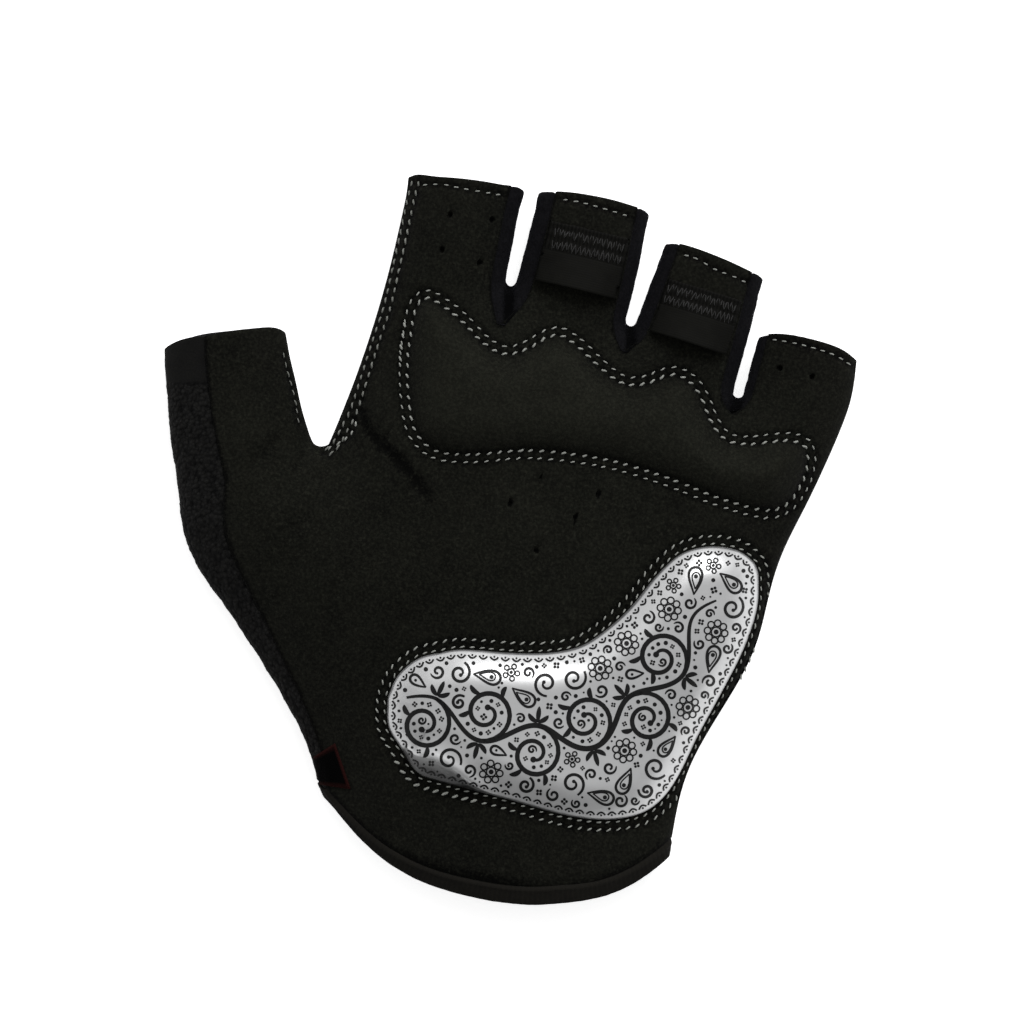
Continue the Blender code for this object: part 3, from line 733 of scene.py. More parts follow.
def tape_finish(name, turn, centre, span):
    """Satin tape: two ribbed bands under its stitching, then smooth elastic down to the free foot."""
    made = Finish(name, Specular_IOR_Level=0.05, Sheen_Weight=0.01, Sheen_Roughness=0.4)
    place = made.coordinates(turn, centre)
    x, y = (made.axis(place, name) for name in "XY")
    ribs = x.wave(0.85 * MM)
    weft = y.wave(0.55 * MM)
    threads = made.noise(made.coordinates(turn, centre, (1.0, 3.0, 1.0)), 1500.0, 3.0, 0.6)
    worked = made.step(y, 0.06 * span, 0.12 * span)
    lumps = made.noise(place, 380.0)
    smooth = 0.16 + 0.05 * weft + 0.35 * lumps + 0.20 * threads
    ribbed = -0.30 + 0.35 * ribs + 0.9 * threads
    # Less the painted shade where the tape runs under the gussets.
    light = worked * ribbed + (1.0 - worked) * smooth - 1.1 * made.tone("painted_shade")
    colour = made.blend(light.limited(1.3), (0.0004, 0.0004, 0.0003), (0.0070, 0.0069, 0.0056))
    relief = (worked * (0.6 * ribs + 0.7 * threads) + (1.0 - worked) * 0.12 * weft, 0.5, 0.25 * MM)
    return made.wear(Base_Color=colour, Roughness=0.62 + 0.2 * threads, relief=relief)


def thread_finish(name, low, high):
    """Twisted thread: three plies wind round each stitch."""
    made = Finish(name, Specular_IOR_Level=0.25, Sheen_Weight=0.1)
    around = made.node("ShaderNodeUVMap", {"uv_map": "thread"})
    ply = (made.axis(around, "X") * 3.0 + made.axis(around, "Y") * 2.5).wave(1.0)
    place = made.coordinates()
    soil = made.noise(place, 120.0)
    each = made.noise(place, 420.0, 1.0)
    colour = made.blend(0.45 * ply + 0.45 * each + 0.2 * soil, low, high)
    return made.wear(Base_Color=colour, Roughness=0.6 + 0.2 * ply, relief=(ply, 0.6, 0.12 * MM))


def tab_finish():
    made = Finish("tab_tape", Specular_IOR_Level=0.02)
    place = made.coordinates(-20.0)
    weave = made.axis(place, "X").wave(0.5 * MM)
    rows = made.axis(place, "Y").wave(0.7 * MM)
    threads = made.noise(place, 1600.0)
    light = 0.3 * weave + 0.3 * rows + 0.3 * threads
    black = made.blend(light, (0.0001, 0.0001, 0.0001), (0.0009, 0.0008, 0.0008))
    colour = made.blend(made.tone("border") * (0.55 + 0.5 * threads), black, (0.0165, 0.0042, 0.0036))
    relief = (weave * rows, 0.4, 0.15 * MM)
    return made.wear(Base_Color=colour, Roughness=0.75 + 0.15 * threads, relief=relief)


def back_finish():
    """Plain warp knit for the back, which the photograph doesn't show."""
    made = Finish("back_knit", Specular_IOR_Level=0.06, Sheen_Weight=0.03, Sheen_Roughness=0.5)
    place = made.coordinates()
    ribs = made.axis(place, "X").wave(0.9 * MM)
    loops = made.axis(place, "Y").wave(0.7 * MM)
    threads = made.noise(place, 1700.0)
    lumps = made.noise(place, 90.0)
    # Knit tone, less the painted shade at its seam.
    light = 0.2 + 0.3 * ribs + 0.15 * loops + 0.4 * threads + 0.3 * lumps - 0.8 * made.tone("painted_shade")
    colour = made.blend(light.limited(1.2), (0.0022, 0.0022, 0.0024), (0.0120, 0.0120, 0.0135))
    relief = (ribs * 0.7 + loops * 0.4 + threads * 0.2, 0.6, 0.25 * MM)
    return made.wear(Base_Color=colour, Roughness=0.78 + 0.12 * threads, relief=relief)


def floor_finish():
    white = (1.0, 1.0, 1.0, 1.0)
    made = Finish("studio_floor", Specular_IOR_Level=0.1, Emission_Strength=0.65, Emission_Color=white)
    grain = made.noise(made.coordinates(), 900.0)
    colour = made.blend(grain, (0.90, 0.90, 0.90), (0.93, 0.93, 0.93))
    return made.wear(Base_Color=colour, Roughness=0.9 + 0.05 * grain)


# Dressing


def finished(piece, name, material, slot, *nodes):
    """Names a piece, gives it its finish, hangs it on the root body and hides the nodes that it stands
    for.
    """
    piece.name = name
    piece.data.name = name
    piece.data.materials.clear()
    piece.data.materials.append(material)
    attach(piece, "root")
    if nodes:
        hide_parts(*nodes)
    return piece


def dress_palm():
    """The suede palm, pulled in along its rows and under its pads, with creases and vents, and painted
    shade in its rows, creases, seams and vents.
    """
    for reach in ROW_FINER:
        refine(palm, near_rows(reach, all_rows))
    for reach, count in zip(CREASE_FINER, (4, 3)):
        refine(palm, near_rows(reach, [crease for crease, _, _ in creases[:count]]))
    refine(palm, near_vents, passes=2)
    points, normals = vertices_of(palm)
    plan = points[:, :2]
    outer = eased(normals[:, 2], 0.02, 0.30)
    move, painted_shade = row_relief(plan)
    fold, shade = crease_relief(plan)
    under = np.maximum(knuckle_edge.depth(plan), heel_edge.depth(plan))
    sunk = 0.16 * MM * eased(under, 0.3 * MM, 0.9 * MM) + 0.75 * MM * eased(under, 1.4 * MM, 3.0 * MM)
    away = np.linalg.norm(plan[:, None] - vents[None], axis=2).min(1)
    hole = eased(-away, -1.15 * VENT_RADIUS, -0.7 * VENT_RADIUS)
    # Nearness to the gussets, wipe and cuff: it flattens the cloth there and is painted in as shade along
    # those seams.
    seam_dark = np.zeros(len(points))
    for node in (*FEET, "thumb_wipe", "cuff_band"):
        _, gap = Ground(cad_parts[node]).near(points, 2.0 * MM)
        seam_dark = np.maximum(seam_dark, 1.0 - eased(gap, 0.3 * MM, 1.5 * MM))
    rise = move + cloth_relief(points) * (1 - seam_dark) - sunk - VENT_DEPTH * hole
    points += normals * (rise * outer)[:, None]
    points[:, 2] += evened(palm, fold)
    set_vertices(palm, points)
    # Painted shade in the row channels, the crease valleys, along the seams with the gussets, wipe and
    # cuff, and inside the vents.
    shade = np.maximum(painted_shade * 0.45, evened(palm, shade) * 0.95)
    set_tone(palm, "painted_shade", np.clip(shade + 0.6 * seam_dark + 1.2 * hole, 0, 1.3))
    set_tone(palm, "tone_and_painted_highlight", uneven_wear(points))
    finished(palm, "palm_suede", suede, "suede", "palm_panel")


def uneven_wear(points):
    """Faintly lighter and darker parts of the suede."""
    return 0.25 * roughness_noise(points, 30 * MM, 5.0)


def pillow(depth, rise, shoulder):
    """How far a filled pad rises at a depth inside its edge."""
    return rise * np.sin(math.pi / 2 * np.clip(depth / shoulder, 0, 1)) ** 0.9


def dress_pad(name, edge, height, levels, reach, rows):
    """A patch on the palm: its upper side takes the palm's own surface and a height over it."""
    pad = rounded_copy(name, levels, hold=0.0, settle=False)
    refine(pad, near_rows(reach, rows))
    points, normals = vertices_of(pad)
    plan = points[:, :2]
    depth = edge.depth(plan)
    base = skin.heights(plan)
    upper = eased(normals[:, 2], -0.15, 0.15)
    sole = base - PAD_SOLE
    points[:, 2] = sole + (base + height(plan, depth, points) - sole) * upper
    set_vertices(pad, points)
    return pad, plan, depth, points


def knuckle_height(plan, depth, points):
    """A foam swell inside the stitched rows, with the palm's creases running over it."""
    move, _ = row_relief(plan)
    fold, _ = crease_relief(plan)
    tucked = -0.45 * MM * (1 - eased(depth, -0.3 * MM, 0.35 * MM)) + 0.05 * MM
    swell = pillow(depth - KNUCKLE_ROWS[1] - 0.2 * MM, KNUCKLE_RISE, KNUCKLE_SHOULDER)
    return tucked + swell + move + fold + cloth_relief(points)


def fold_share(plan, first=0.16):
    """How strong the heel pad's fold is near each point, and how far above the fold that is."""
    index, _ = heel_fold.nearest(plan)
    share = heel_fold.along[index] / heel_fold.length
    ends = eased(share, 0.0, first) * (1.0 - eased(share, 0.55, 0.95))
    return ends, heel_fold.depth(plan)


def heel_height(plan, depth, points):
    """A gel swell with a moulded lip, and a ridge and a hollow along its fold."""
    ends, side = fold_share(plan)
    ridge = bell(side - 0.2 * MM, 1.5 * MM) * ends
    hollow = bell(side - 4.2 * MM, 2.6 * MM) * ends
    lip = 0.42 * MM * eased(depth, -0.25 * MM, 0.45 * MM) - 0.40 * MM
    return lip + pillow(depth, HEEL_RISE, HEEL_SHOULDER) + (1.05 * ridge - 0.45 * hollow) * MM


def dress_knuckle():
    """The foam pad, in the palm's suede, a little lighter with wear on its top."""
    shape = (knuckle_edge, knuckle_height, 2, 2.2 * MM, knuckle_rows)
    pad, plan, depth, points = dress_pad("knuckle_pad", *shape)
    # Painted shade in the row channels.
    set_tone(pad, "painted_shade", np.clip(row_relief(plan)[1] * 0.55, 0, 1))
    set_tone(pad, "tone_and_painted_highlight", 0.7 * eased(depth, 2 * MM, 8 * MM) + uneven_wear(points))
    finished(pad, "knuckle_foam_pad", suede, "suede", "knuckle_pad")
    return pad


def dress_heel():
    """The gel pad, with painted shade under its fold, along its seam and at its rim."""
    shape = (heel_edge, heel_height, 3, 1.2 * MM, [heel_edge, heel_fold])
    pad, plan, depth, _ = dress_pad("heel_pad", *shape)
    # Darker silver in patches towards its edge.
    set_tone(pad, "tone_and_painted_highlight", 1.0 - eased(depth, 0.1 * MM, 1.2 * MM))
    ends, side = fold_share(plan, 0.04)
    # Painted shade under the fold and where it meets the seam, and at the rim.
    under = 0.76 * eased(-side, -0.1 * MM, 0.3 * MM) + 0.21 * eased(-side, 0.3 * MM, 2.6 * MM)
    seam = eased(-side, 0.2 * MM, 1.0 * MM) * (1.0 - eased(depth, 0.7 * MM, 2.0 * MM))
    rim = 0.55 * (1.0 - eased(depth, 0.0, 0.6 * MM))
    set_tone(pad, "painted_shade", np.maximum(ends * np.maximum(under, seam), rim))
    finished(pad, "heel_gel_pad", silver_finish(), "printed_silver", "heel_pad")
    return pad


def dress_back():
    """The plain back, whose lowest points lie on the table."""
    piece = rounded_copy("back_panel")
    points, normals = vertices_of(piece)
    points += normals * (0.15 * MM * roughness_noise(points, 9.0 * MM))[:, None]
    points, seam = snug(points, palm_ground)
    set_vertices(piece, points, lowest=0.0)
    # Painted shade along its seam with the palm.
    set_tone(piece, "painted_shade", 0.6 * seam)
    return finished(piece, "back_knit_panel", back_finish(), "stretch_knit", "back_panel")


def dress_gusset(node, foot):
    """A fuzzy knit gusset, bunched and folded where it ends on the palm."""
    piece = rounded_copy(node, levels=3, hold=0.3)
    points, normals = vertices_of(piece)
    plan = points[:, :2]
    fold = Trace(smooth_path(on_palm(foot)))
    away = fold.distance(plan)
    end = np.linalg.norm(plan - on_palm(foot[1]), axis=1)
    bunch = bell(end, 4.5 * MM)
    upper = eased(normals[:, 2], 0.0, 0.4)
    groove = bell(away, 1.05 * MM) * upper
    lumps = 0.10 * MM * roughness_noise(points, 0.9 * MM)
    lumps += (0.12 + 0.30 * bunch) * MM * roughness_noise(points, 2.3 * MM)
    points += normals * (lumps - 0.55 * MM * groove)[:, None]
    points, seam = snug(points, back_ground, palm_ground)
    top, low = on_palm(foot)
    length = np.linalg.norm(low - top)
    run = (low - top) / length
    down = (points[:, :2] - top) @ run
    reach = down.max()
    stretch = np.clip(down / reach, 0, 1) ** 2 * max(0.0, length - reach)
    points[:, :2] += run * stretch[:, None]
    over = palm_ground.heights(points[:, :2], -1.0) + 0.10 * MM + 0.25 * lumps
    raised = np.maximum(over - points[:, 2], 0.0) * eased(normals[:, 2], 0.1, 0.5)
    points[:, 2] += raised * (stretch > 0.1 * MM)
    set_vertices(piece, points, lowest=0.2 * MM)
    # Painted shade in the middle fold, among the bunched cloth at the foot and along the seams.
    bunch_shade = 0.45 * bunch * eased(roughness_noise(points, 1.6 * MM), 0.0, 0.3)
    set_tone(piece, "painted_shade", np.clip(1.2 * groove + bunch_shade + 0.6 * seam, 0, 1.2))
    return finished(piece, node + "_knit", knit, "stretch_knit", node)


def dress_wipe():
    """Towelling: loops stand up all over it, so its edge is uneven."""
    piece = rounded_copy("thumb_wipe", levels=3)
    refine(piece, lambda middles, normals: np.ones(len(middles), bool))
    points, normals = vertices_of(piece)
    cells = np.array([noise.voronoi(Vector(p / (0.95 * MM)))[0][0] for p in points])
    rise = 0.22 * MM * (0.55 - cells) + 0.18 * MM * roughness_noise(points, 3.2 * MM)
    up = points[:, :2] @ heading(WIPE_LEAN)
    hem = eased(up, *WIPE_HEM)
    points += normals * (rise * (1 - 0.8 * hem))[:, None]
    points, seam = snug(points, back_ground, palm_ground)
    set_tone(piece, "hem", hem)
    set_vertices(piece, points, lowest=0.2 * MM)
    # Painted shade between the loops, along the seams and in a line where the loops end at the hem.
    line = bell(up - WIPE_LINE, 0.5 * MM)
    between = eased(cells, 0.45, 0.8) * (1 - hem)
    set_tone(piece, "painted_shade", np.clip(0.5 * between + 0.7 * seam + 0.3 * line, 0, 1))
    return finished(piece, "thumb_wipe_terry", terry_finish(), "terry", "thumb_wipe")


def dress_cuff():
    """The elastic band, with a rolled ridge under its seam, a painted highlight on the ridge and painted
    shade along the seam.
    """
    piece = rounded_copy("cuff_band", levels=3, hold=0.35)
    points, normals = vertices_of(piece)
    _, away = palm_ground.near(points, 4 * MM)
    ridge = bell(away - 0.85 * MM, 0.40 * MM) * eased(normals[:, 2], 0.0, 0.4)
    lumps = 0.10 * roughness_noise(points, 4.0 * MM) + 0.05 * roughness_noise(points, 1.2 * MM)
    points += normals * (lumps * MM + 0.22 * MM * ridge)[:, None]
    points, seam = snug(points, back_ground, palm_ground)
    set_vertices(piece, points, lowest=0.05 * MM)
    # Painted shade along the seam, and a painted highlight along the rolled ridge.
    set_tone(piece, "painted_shade", 0.9 * seam)
    set_tone(piece, "tone_and_painted_highlight", ridge)
    return finished(piece, "cuff_elastic", elastic_finish(), "elastic", "cuff_band")


def dress_tab():
    """A folded tape over the side seam: flat on the palm, then down round the edge."""
    rim_top, inner_top, inner_low, rim_low = on_palm(TAB)
    width, depth = np.linalg.norm(inner_top - rim_top), np.linalg.norm(rim_low - rim_top)
    below = Ground(palm, wipe, cuff)
    bm = bmesh.new()
    bmesh.ops.create_grid(bm, x_segments=22, y_segments=14, size=0.5)
    border = bm.verts.layers.float.new("border")
    for vert in bm.verts:
        across, down = TAB_ROUND * (vert.co.x + 0.5), vert.co.y + 0.5
        flat = min(across, 1.0)
        top = inner_top + (rim_top - inner_top) * flat
        low = inner_low + (rim_low - inner_low) * flat
        place = top + (low - top) * down
        hit, _ = below.drop(*place)
        height = hit.z if hit is not None else 7.0 * MM
        vert[border] = min(across * width, down * depth, (1 - down) * depth) / MM
        vert.co = (*place, height + TAB_LIFT - max(0.0, across - 1.0) * TAB_DROP)
    for _ in range(3):
        bmesh.ops.smooth_vert(bm, verts=bm.verts, factor=0.4, use_axis_z=True)
    bmesh.ops.recalc_face_normals(bm, faces=bm.faces)
    if sum(face.normal.z for face in bm.faces) < 0:
        bmesh.ops.reverse_faces(bm, faces=bm.faces)
    bmesh.ops.solidify(bm, geom=bm.faces[:], thickness=TAB_WALL)
    piece = from_bmesh("tab", bm)
    inset = np.array([entry.value for entry in piece.data.attributes["border"].data])
    set_tone(piece, "border", 1.0 - eased(inset, 0.30, 0.62))
    finished(piece, "side_tab_tape", tab_finish(), "ribbed_tape", "side_tab")


def dress_loop(node, lean):
    """A pull tape: its worked head and its sides are sewn down, and its foot stands off the finger."""
    piece = rounded_copy(node, levels=3, hold=0.5, settle=False)
    points, normals = vertices_of(piece)
    low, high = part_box(node)
    centre = np.array(((low + high) / 2)[:2])
    along = heading(lean)
    down = (points[:, :2] - centre) @ along
    half = np.abs(down).max()
    worked = eased(down, 0.02 * half, 0.12 * half)
    rows = np.cos(2 * math.pi * (down - 0.26 * half) / (0.36 * half)) * worked
    lumps = 0.10 * roughness_noise(points, 3.5 * MM) + 0.06 * roughness_noise(points, 1.1 * MM) * worked
    points += normals * (0.10 * MM * rows + lumps * MM)[:, None]
    cover = gusset_ground.heights(points[:, :2], 1.0)
    under = points[:, 2] > cover - 0.05 * MM
    points[under, 2] = cover[under] - np.where(normals[under, 2] > 0, 0.05, 0.35) * MM
    set_vertices(piece, points)
    # Painted shade where the tape runs under the gussets.
    _, gap = gusset_ground.near(points, 2 * MM)
    set_tone(piece, "painted_shade", 0.8 * (1.0 - eased(gap, 0.1 * MM, 1.2 * MM)))
    finish = tape_finish(node + "_tape", -lean, (*centre, 0.0), half)
    return finished(piece, node + "_tape", finish, "ribbed_tape", node), centre, along, half


suede = suede_finish()
knit = gusset_finish()
palm = rounded_copy("palm_panel")
skin = Ground(palm)
dress_palm()
knuckle = dress_knuckle()
heel = dress_heel()
palm_ground = Ground(palm)
back_ground = Ground(dress_back())
gussets = [dress_gusset(node, foot) for node, foot in FEET.items()]
wipe = dress_wipe()
cuff = dress_cuff()
dress_tab()
gusset_ground = Ground(*gussets)
loops = [dress_loop("pull_loop_middle", 3.2), dress_loop("pull_loop_ring", 7.0)]
ground = Ground(palm, knuckle, heel, wipe, cuff, *gussets, *(loop[0] for loop in loops))


# Stitches


class Seam:
    """Stitches of one thread, gathered into one piece."""

    def __init__(self, seed):
        self.bm = bmesh.new()
        self.bm.loops.layers.uv.new("thread")
        self.chance = random.Random(seed)

    def stitch(self, plan, run, half, thick, sunk=0.35):
        """One stitch along run: proud in its middle and pulled in at both ends."""
        hit, normal = ground.drop(*plan)
        if hit is None:
            return
        along = Vector((run[0], run[1], 0.0))
        along = (along - normal * along.dot(normal)).normalized()
        side = normal.cross(along)
        middle = hit + normal * thick * sunk
        turn = Matrix((side * thick, normal * thick, along * half)).transposed()
        place = Matrix.Translation(middle) @ turn.to_4x4()
        made = bmesh.ops.create_uvsphere(
            self.bm, u_segments=8, v_segments=6, radius=1.0, matrix=place, calc_uvs=True
        )
        for vert in made["verts"]:
            reach = (vert.co - middle).dot(along) / half
            vert.co -= normal * thick * 1.1 * reach**4

    def row(self, trace, half=STITCH_HALF, thick=THREAD, slant=14.0, pitch=STITCH_PITCH, part=(0.0, 1.0)):
        """Evenly spaced stitches along part of a row, each a little out of line."""
        first, last = (share * trace.length for share in part)
        count = max(1, round((last - first) / pitch))
        spacing = (last - first) / count
        for i in range(count):
            s = first + (i + 0.5) * spacing + self.chance.uniform(-0.06, 0.06) * pitch
            point, run = trace.place(min(max(s, 0.0), trace.length))
            turn = math.radians(slant + self.chance.uniform(-7, 7))
            aslant = np.array((
                run[0] * math.cos(turn) - run[1] * math.sin(turn),
                run[0] * math.sin(turn) + run[1] * math.cos(turn),
            ))
            size = self.chance.uniform(0.92, 1.08)
            self.stitch(point, aslant, half * size, thick * self.chance.uniform(0.94, 1.06))

    def zigzag(self, centre, along, width=16.5 * MM, reach=2.6 * MM, pitch=1.1 * MM, thick=0.16 * MM):
        """A band of zigzag stitches across a tape."""
        across = -left_of(along)
        count = round(width / pitch)
        for i in range(2 * count):
            sign = 1 if i % 2 else -1
            point = centre + across * ((i + 0.5) / (2 * count) - 0.5) * width
            leg = across * pitch / 2 + along * sign * reach
            leg = leg / np.linalg.norm(leg)
            point = point + along * self.chance.uniform(-0.15, 0.15) * reach
            half = math.hypot(reach, pitch / 2) / 2 * self.chance.uniform(0.6, 1.0)
            self.stitch(point, leg, half, thick * self.chance.uniform(0.5, 1.0), 0.0)

    def piece(self, name, material, slot):
        finished(from_bmesh(name, self.bm), name, material, slot)


white_thread = thread_finish("white_thread", (0.10, 0.103, 0.094), (0.33, 0.34, 0.31))
dull_thread = thread_finish("dull_thread", (0.045, 0.047, 0.041), (0.19, 0.195, 0.175))
black_thread = thread_finish("black_thread", (0.0010, 0.0010, 0.0010), (0.0080, 0.0080, 0.0074))


def beside(trace, plan, reach):
    """The part of a row that runs within a reach of a plan point."""
    close = np.flatnonzero(np.linalg.norm(trace.path - plan, axis=1) < reach)
    return trace.along[close.min()] / trace.length, trace.along[close.max()] / trace.length


seam = Seam(11)
for row in knuckle_rows:
    seam.row(row, half=0.70 * MM, thick=0.19 * MM, slant=18.0)
for row, share in zip(knuckle_rows, ((-0.383, 0.480), (-0.342, 0.520))):
    seam.row(row, slant=30.0, thick=0.26 * MM, part=beside(row, on_palm(share), 5.5 * MM))
seam.piece("knuckle_stitching", white_thread, "suede")

seam = Seam(12)
seam.row(heel_rows[0], pitch=2.2 * MM, half=0.66 * MM, thick=0.19 * MM, slant=14.0)
coarse = beside(heel_rows[1], on_palm((-0.15, -0.28)), 11 * MM)
for part in ((0.0, coarse[0]), (coarse[1], 1.0)):
    seam.row(heel_rows[1], pitch=2.25 * MM, half=0.72 * MM, thick=0.21 * MM, slant=26.0, part=part)
seam.row(heel_rows[1], pitch=2.35 * MM, half=0.90 * MM, thick=0.32 * MM, slant=38.0, part=coarse)
seam.piece("heel_stitching", white_thread, "suede")

seam = Seam(13)
for row in hem_rows.values():
    seam.row(row, pitch=2.3 * MM, half=0.66 * MM, thick=0.17 * MM, slant=8.0)
seam.row(corner_row, pitch=2.2 * MM, half=0.74 * MM, thick=0.26 * MM)
seam.piece("hem_stitching", white_thread, "suede")

seam = Seam(15)
for row in edge_rows:
    seam.row(row, pitch=2.3 * MM, half=0.80 * MM, thick=0.24 * MM, slant=12.0)
seam.row(thumb_row, pitch=2.3 * MM, half=0.75 * MM, thick=0.17 * MM, slant=4.0)
seam.piece("edge_stitching", dull_thread, "suede")

seam = Seam(14)
for _, centre, along, half in loops:
    for share in (0.72, 0.28):
        seam.zigzag(centre + along * (share * half), along)
seam.piece("loop_stitching", black_thread, "ribbed_tape")


# Print on the heel pad, drawn in millimetres but for its height and wall

INK_LIFT = 0.05 * MM
INK_WALL = 0.05 * MM
GRID_SPANS = ((-30.0, 50.0), (-39.0, 29.0))
GRID_STEP = 0.55
EDGE_LINE = 0.65
SCALLOP_PITCH = 2.5
SCALLOP_HEIGHT = 1.25
SPINE = (
    (-25.5, -17.5), (-16.5, -20.0), (-3.0, -21.5), (12.0, -20.5),
    (22.0, -15.5), (30.0, -5.5), (36.0, 5.5), (40.5, 16.5),
)
VINE_HALF_WAVE = 12.4
VINE_SWAY = 2.9
SCROLL_DROP = 3.6
SCROLL_TURNS = 1.5

# The space round each filling motif, its largest radius, and the radius from which each kind is drawn
PADDING = 0.42
LARGEST = 2.9
DROP_ABOVE = 1.75
CURL_ABOVE = 1.0
QUATREFOIL_ABOVE = 0.62
DOT_ABOVE = 0.26

print_ground = Ground(heel)


def spiral(centre, radius, start, sweep, closing, count):
    """Points that wind in from a radius, closing by a share of it."""
    share = np.linspace(0, 1, count)
    reach = radius * (1 - closing[0] * share ** closing[1])
    return [centre + r * turned(a) for r, a in zip(reach, start + sweep * share)]


class Print:
    """A flat print: strokes of changing width and dots, laid on the pad and given a thin wall."""

    def __init__(self, seed):
        self.bm = bmesh.new()
        self.chance = random.Random(seed)
        axes = [np.arange(low, high, GRID_STEP) for low, high in GRID_SPANS]
        grid = np.array(np.meshgrid(*axes)).reshape(2, -1).T
        depth = heel_edge.depth(grid * MM) / MM
        inside = depth > EDGE_LINE
        self.grid = grid[inside]
        self.room = depth[inside] - EDGE_LINE

    def take(self, points, reach):
        """Marks the room around some points as used."""
        for point in np.atleast_2d(points):
            self.room = np.minimum(self.room, np.linalg.norm(self.grid - point, axis=1) - reach)

    def laid(self, plan):
        """A vertex just over the pad, or none beside it."""
        hit, normal = print_ground.drop(*plan)
        return None if hit is None else self.bm.verts.new(hit + normal * INK_LIFT)

    def stroke(self, points, width, start=0.35, end=0.35, step=0.34, margin=1.0, used=False):
        """A pen stroke, full in its middle and thinner at its ends, clipped at the edge of the pad."""
        path = even(np.asarray(points, float), step)
        if len(path) < 3:
            return
        run = headings(path)
        share = np.linspace(0, 1, len(path))
        taper = start + (end - start) * share
        half = width / 2 * (taper + (1 - taper) * np.sin(math.pi * share) ** 0.6)
        side = left_of(run) * half[:, None]
        keep = heel_edge.depth(path * MM) > margin * MM
        before = None
        for point, reach, inside in zip(path, side, keep):
            rank = [self.laid((point + reach * f) * MM) for f in (-1.0, 0.0, 1.0)] if inside else None
            if rank and before:
                for a, b, c, d in zip(before, before[1:], rank[1:], rank):
                    self.bm.faces.new((b, a, d, c))
            before = rank
        if used:
            self.take(path, width / 2)

    def dot(self, centre, radius, used=False):
        made = bmesh.ops.create_circle(self.bm, cap_ends=True, segments=12, radius=radius * MM)
        for vert in made["verts"]:
            hit, normal = print_ground.drop(vert.co.x + centre[0] * MM, vert.co.y + centre[1] * MM)
            vert.co = hit + normal * INK_LIFT
        for face in {face for vert in made["verts"] for face in vert.link_faces}:
            face.normal_update()
            if face.normal.z < 0:
                face.normal_flip()
        if used:
            self.take(centre, radius)

    def ring(self, centre, radius, width):
        points = spiral(centre, radius, 0.0, 360.0, (0.0, 1.0), 25)
        self.stroke(points, width, start=1.0, end=1.0, step=max(0.2, radius * 0.3))

    def leaf(self, base, angle, length, width, bow=0.16):
        """An almond leaf from its base."""
        run = turned(angle) * length
        aside = left_of(run) * bow
        points = [base + run * f + aside * 4 * f * (1 - f) for f in np.linspace(0, 1, 9)]
        self.stroke(points, width, start=0.25, end=0.05, margin=2.6, used=True)

    def scroll(self, centre, radius, start, hand, width, turns=SCROLL_TURNS, bud=0.7):
        """A scroll that winds in to a bud."""
        points = spiral(centre, radius, start, hand * 360 * turns, (0.80, 0.9), 34)
        self.stroke(points, width, start=0.7, end=0.6, used=True)
        self.dot(points[-1], bud, used=True)
        return points

    def rosette(self, centre, radius):
        """A plain flower: round petals about an eye."""
        petals = max(5, round(radius * 2.6))
        self.dot(centre, radius * 0.20)
        self.ring(centre, radius * 0.38, 0.30)
        for i in range(petals):
            self.ring(centre + turned(360 * i / petals) * radius * 0.70, radius * 0.26, 0.34)

    def paisley(self, centre, size, angle, hand):
        """A drop whose tip curls over, with an inner drop and a core."""
        run = turned(angle)
        side = left_of(run) * hand

        def drop(scale):
            """The outline of the drop, wider at its foot, with its tip bent aside."""
            shape = []
            for turn in np.linspace(0, 2 * math.pi, 37):
                along = math.cos(turn)
                wide = math.sin(turn) * math.sin(turn / 2) ** 1.4 * 0.72
                aside = wide + 0.45 * ((along + 1) / 2) ** 2.2
                shape.append(centre + size * (run * (along * scale - 0.1) + side * (aside * scale - 0.1)))
            return shape

        self.stroke(drop(1.0), 0.62, start=0.5, end=0.5)
        if size > 2.2:
            self.stroke(drop(0.60), 0.34, start=0.8, end=0.8)
        self.dot(centre - run * size * 0.42 - side * size * 0.08, size * 0.16)

    def curl(self, centre, radius, angle, hand):
        """A small scroll that ends in a dot."""
        points = spiral(centre, radius, angle, hand * 420, (0.75, 1.0), 22)
        self.stroke(points, 0.42 + 0.13 * radius, start=0.3, end=0.8)
        self.dot(points[-1], 0.16 + 0.07 * radius)

    def quatrefoil(self, centre, radius, angle):
        """Four dots in a square."""
        for i in range(4):
            self.dot(centre + turned(angle + 90 * i) * radius * 0.55, radius * 0.36)

    def fill(self):
        """Puts the largest motif that fits wherever there is most room left."""
        turn = 0
        while True:
            best = int(np.argmax(self.room))
            radius = min(self.room[best] - PADDING, LARGEST)
            if radius < DOT_ABOVE:
                return
            centre = self.grid[best]
            angle = self.chance.uniform(0, 360)
            hand = self.chance.choice((-1, 1))
            if radius > DROP_ABOVE:
                turn += 1
                if turn % 3 == 1:
                    self.paisley(centre, radius * 1.05, angle, hand)
                elif turn % 3 == 2:
                    self.rosette(centre, radius)
                else:
                    self.scroll(centre, radius, angle, hand, 0.7, turns=1.35, bud=0.42)
            elif radius > CURL_ABOVE:
                self.curl(centre, radius, angle, hand)
            elif radius > QUATREFOIL_ABOVE:
                self.quatrefoil(centre, radius, angle)
            else:
                self.dot(centre, radius * 0.85)
            self.take(centre, radius)

    def piece(self, name, material, slot):
        self.bm.normal_update()
        bmesh.ops.solidify(self.bm, geom=self.bm.faces[:], thickness=INK_WALL)
        made = from_bmesh(name, self.bm)
        made.data.set_sharp_from_angle(angle=math.radians(40))
        finished(made, name, material, slot)


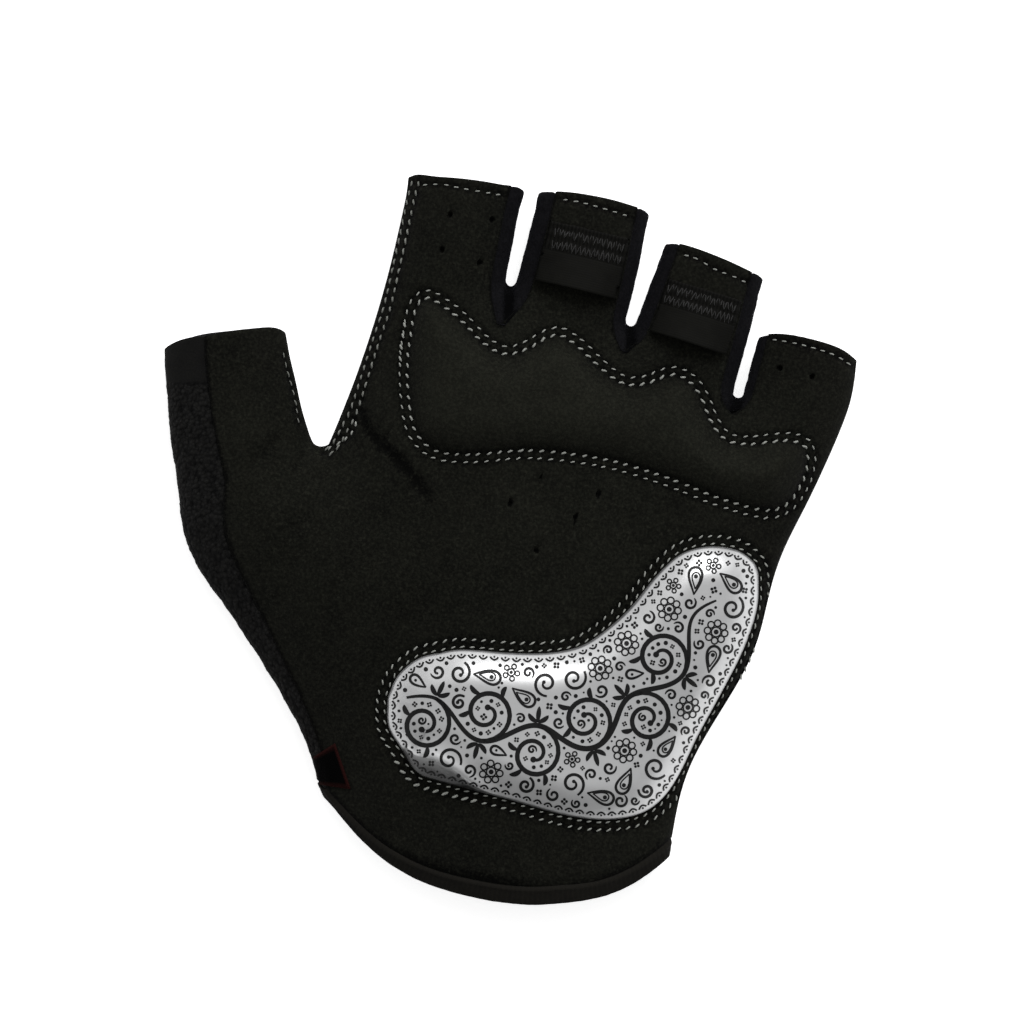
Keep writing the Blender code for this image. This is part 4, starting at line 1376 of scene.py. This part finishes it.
def draw_border(art):
    """A line inside the edge, and scallops with a bead in each."""
    line = Trace(shifted(heel_edge.path, EDGE_LINE * MM, closed=True) / MM, closed=True)
    art.stroke(line.path, 0.40, start=1.0, end=1.0)
    count = round(line.length / SCALLOP_PITCH)
    for i in range(count):
        left, run = line.place(i * line.length / count)
        right, _ = line.place((i + 1) * line.length / count)
        inward = left_of(run)
        share = np.linspace(0, 1, 9)[:, None]
        arch = left + (right - left) * share + inward * SCALLOP_HEIGHT * np.sin(math.pi * share) ** 0.8
        art.stroke(arch, 0.42, start=0.8, end=0.8, used=True)
        art.dot((left + right) / 2 + inward * 0.55, 0.24)


def draw_vine(art):
    """A waving stem with a scroll in each of its bends, and leaves on the scroll and at the crest."""
    spine = Trace(smooth_path(SPINE, step=0.3))
    stem = []
    for s in np.arange(0.0, spine.length, 0.5):
        middle, run = spine.place(s)
        sway = VINE_SWAY * math.sin(math.pi * s / VINE_HALF_WAVE)
        stem.append(middle + left_of(run) * sway)
    art.stroke(stem, 1.25, start=0.45, end=0.35, used=True)
    for k in range(int(spine.length / VINE_HALF_WAVE)):
        hand = 1 if k % 2 == 0 else -1
        middle, run = spine.place((k + 0.5) * VINE_HALF_WAVE)
        up = left_of(run) * hand
        centre = middle - up * SCROLL_DROP
        start = math.degrees(math.atan2(up[1], up[0]))
        points = art.scroll(centre, VINE_SWAY + SCROLL_DROP, start, -hand, 1.10)
        for i, length in ((9, 2.6), (13, 3.0), (17, 2.6)):
            out = points[i] - centre
            angle = math.degrees(math.atan2(out[1], out[0]))
            art.leaf(points[i] + out / np.linalg.norm(out) * 0.3, angle - hand * 28, length, 1.15)
        crest = middle + up * (VINE_SWAY + 0.5)
        for lean in (-52, 0, 52):
            art.leaf(crest + up * 0.3, start + lean, 2.9 if lean else 3.6, 1.1, bow=0.12 * lean / 52)


art = Print(21)
draw_border(art)
draw_vine(art)
art.fill()
art.piece("heel_print", ink_finish(), "printed_silver")


# Studio

FLOOR_HEIGHT = -0.05 * MM
KEY_PLACE = (0.25, 1.35, 1.05)
CAMERA_DISTANCE = 1.30
VIEW_CENTRE = (-9.2 * MM, 28.3 * MM)
VIEW_TURN = 10.0
VIEW_WIDTH = 235.5 * MM


def studio():
    bm = bmesh.new()
    bmesh.ops.create_grid(bm, x_segments=8, y_segments=8, size=3.0)
    floor = from_bmesh("floor", bm)
    floor.data.transform(Matrix.Translation((0.0, 0.0, FLOOR_HEIGHT)))
    floor.data.materials.append(floor_finish())

    sky = Finish("studio", "worlds", "Background", Color=(1.0, 1.0, 1.0, 1.0))
    across = sky.axis(sky.node("ShaderNodeTexCoord", output="Generated"), "Y")
    inputs = {"Value": across, "From Min": -1.0, "From Max": 1.0, "To Min": 0.20, "To Max": 1.15}
    bpy.context.scene.world = sky.wear(Strength=sky.node("ShaderNodeMapRange", None, inputs))

    light = bpy.data.lights.new("key", "AREA")
    light.shape = "SQUARE"
    light.size = 0.9
    light.energy = 24.0
    key = linked("key", light)
    key.location = KEY_PLACE
    key.rotation_euler = (-Vector(KEY_PLACE)).to_track_quat("-Z", "Y").to_euler()

    camera = linked("camera", bpy.data.cameras.new("camera"))
    camera.location = (*VIEW_CENTRE, CAMERA_DISTANCE + 10 * MM)
    camera.rotation_euler = (0.0, 0.0, math.radians(VIEW_TURN))
    camera.data.lens = 36.0 * CAMERA_DISTANCE / VIEW_WIDTH
    camera.data.clip_start = 0.1
    camera.data.clip_end = 20.0
    bpy.context.scene.camera = camera
    bpy.context.scene.view_settings.view_transform = "Standard"


studio()
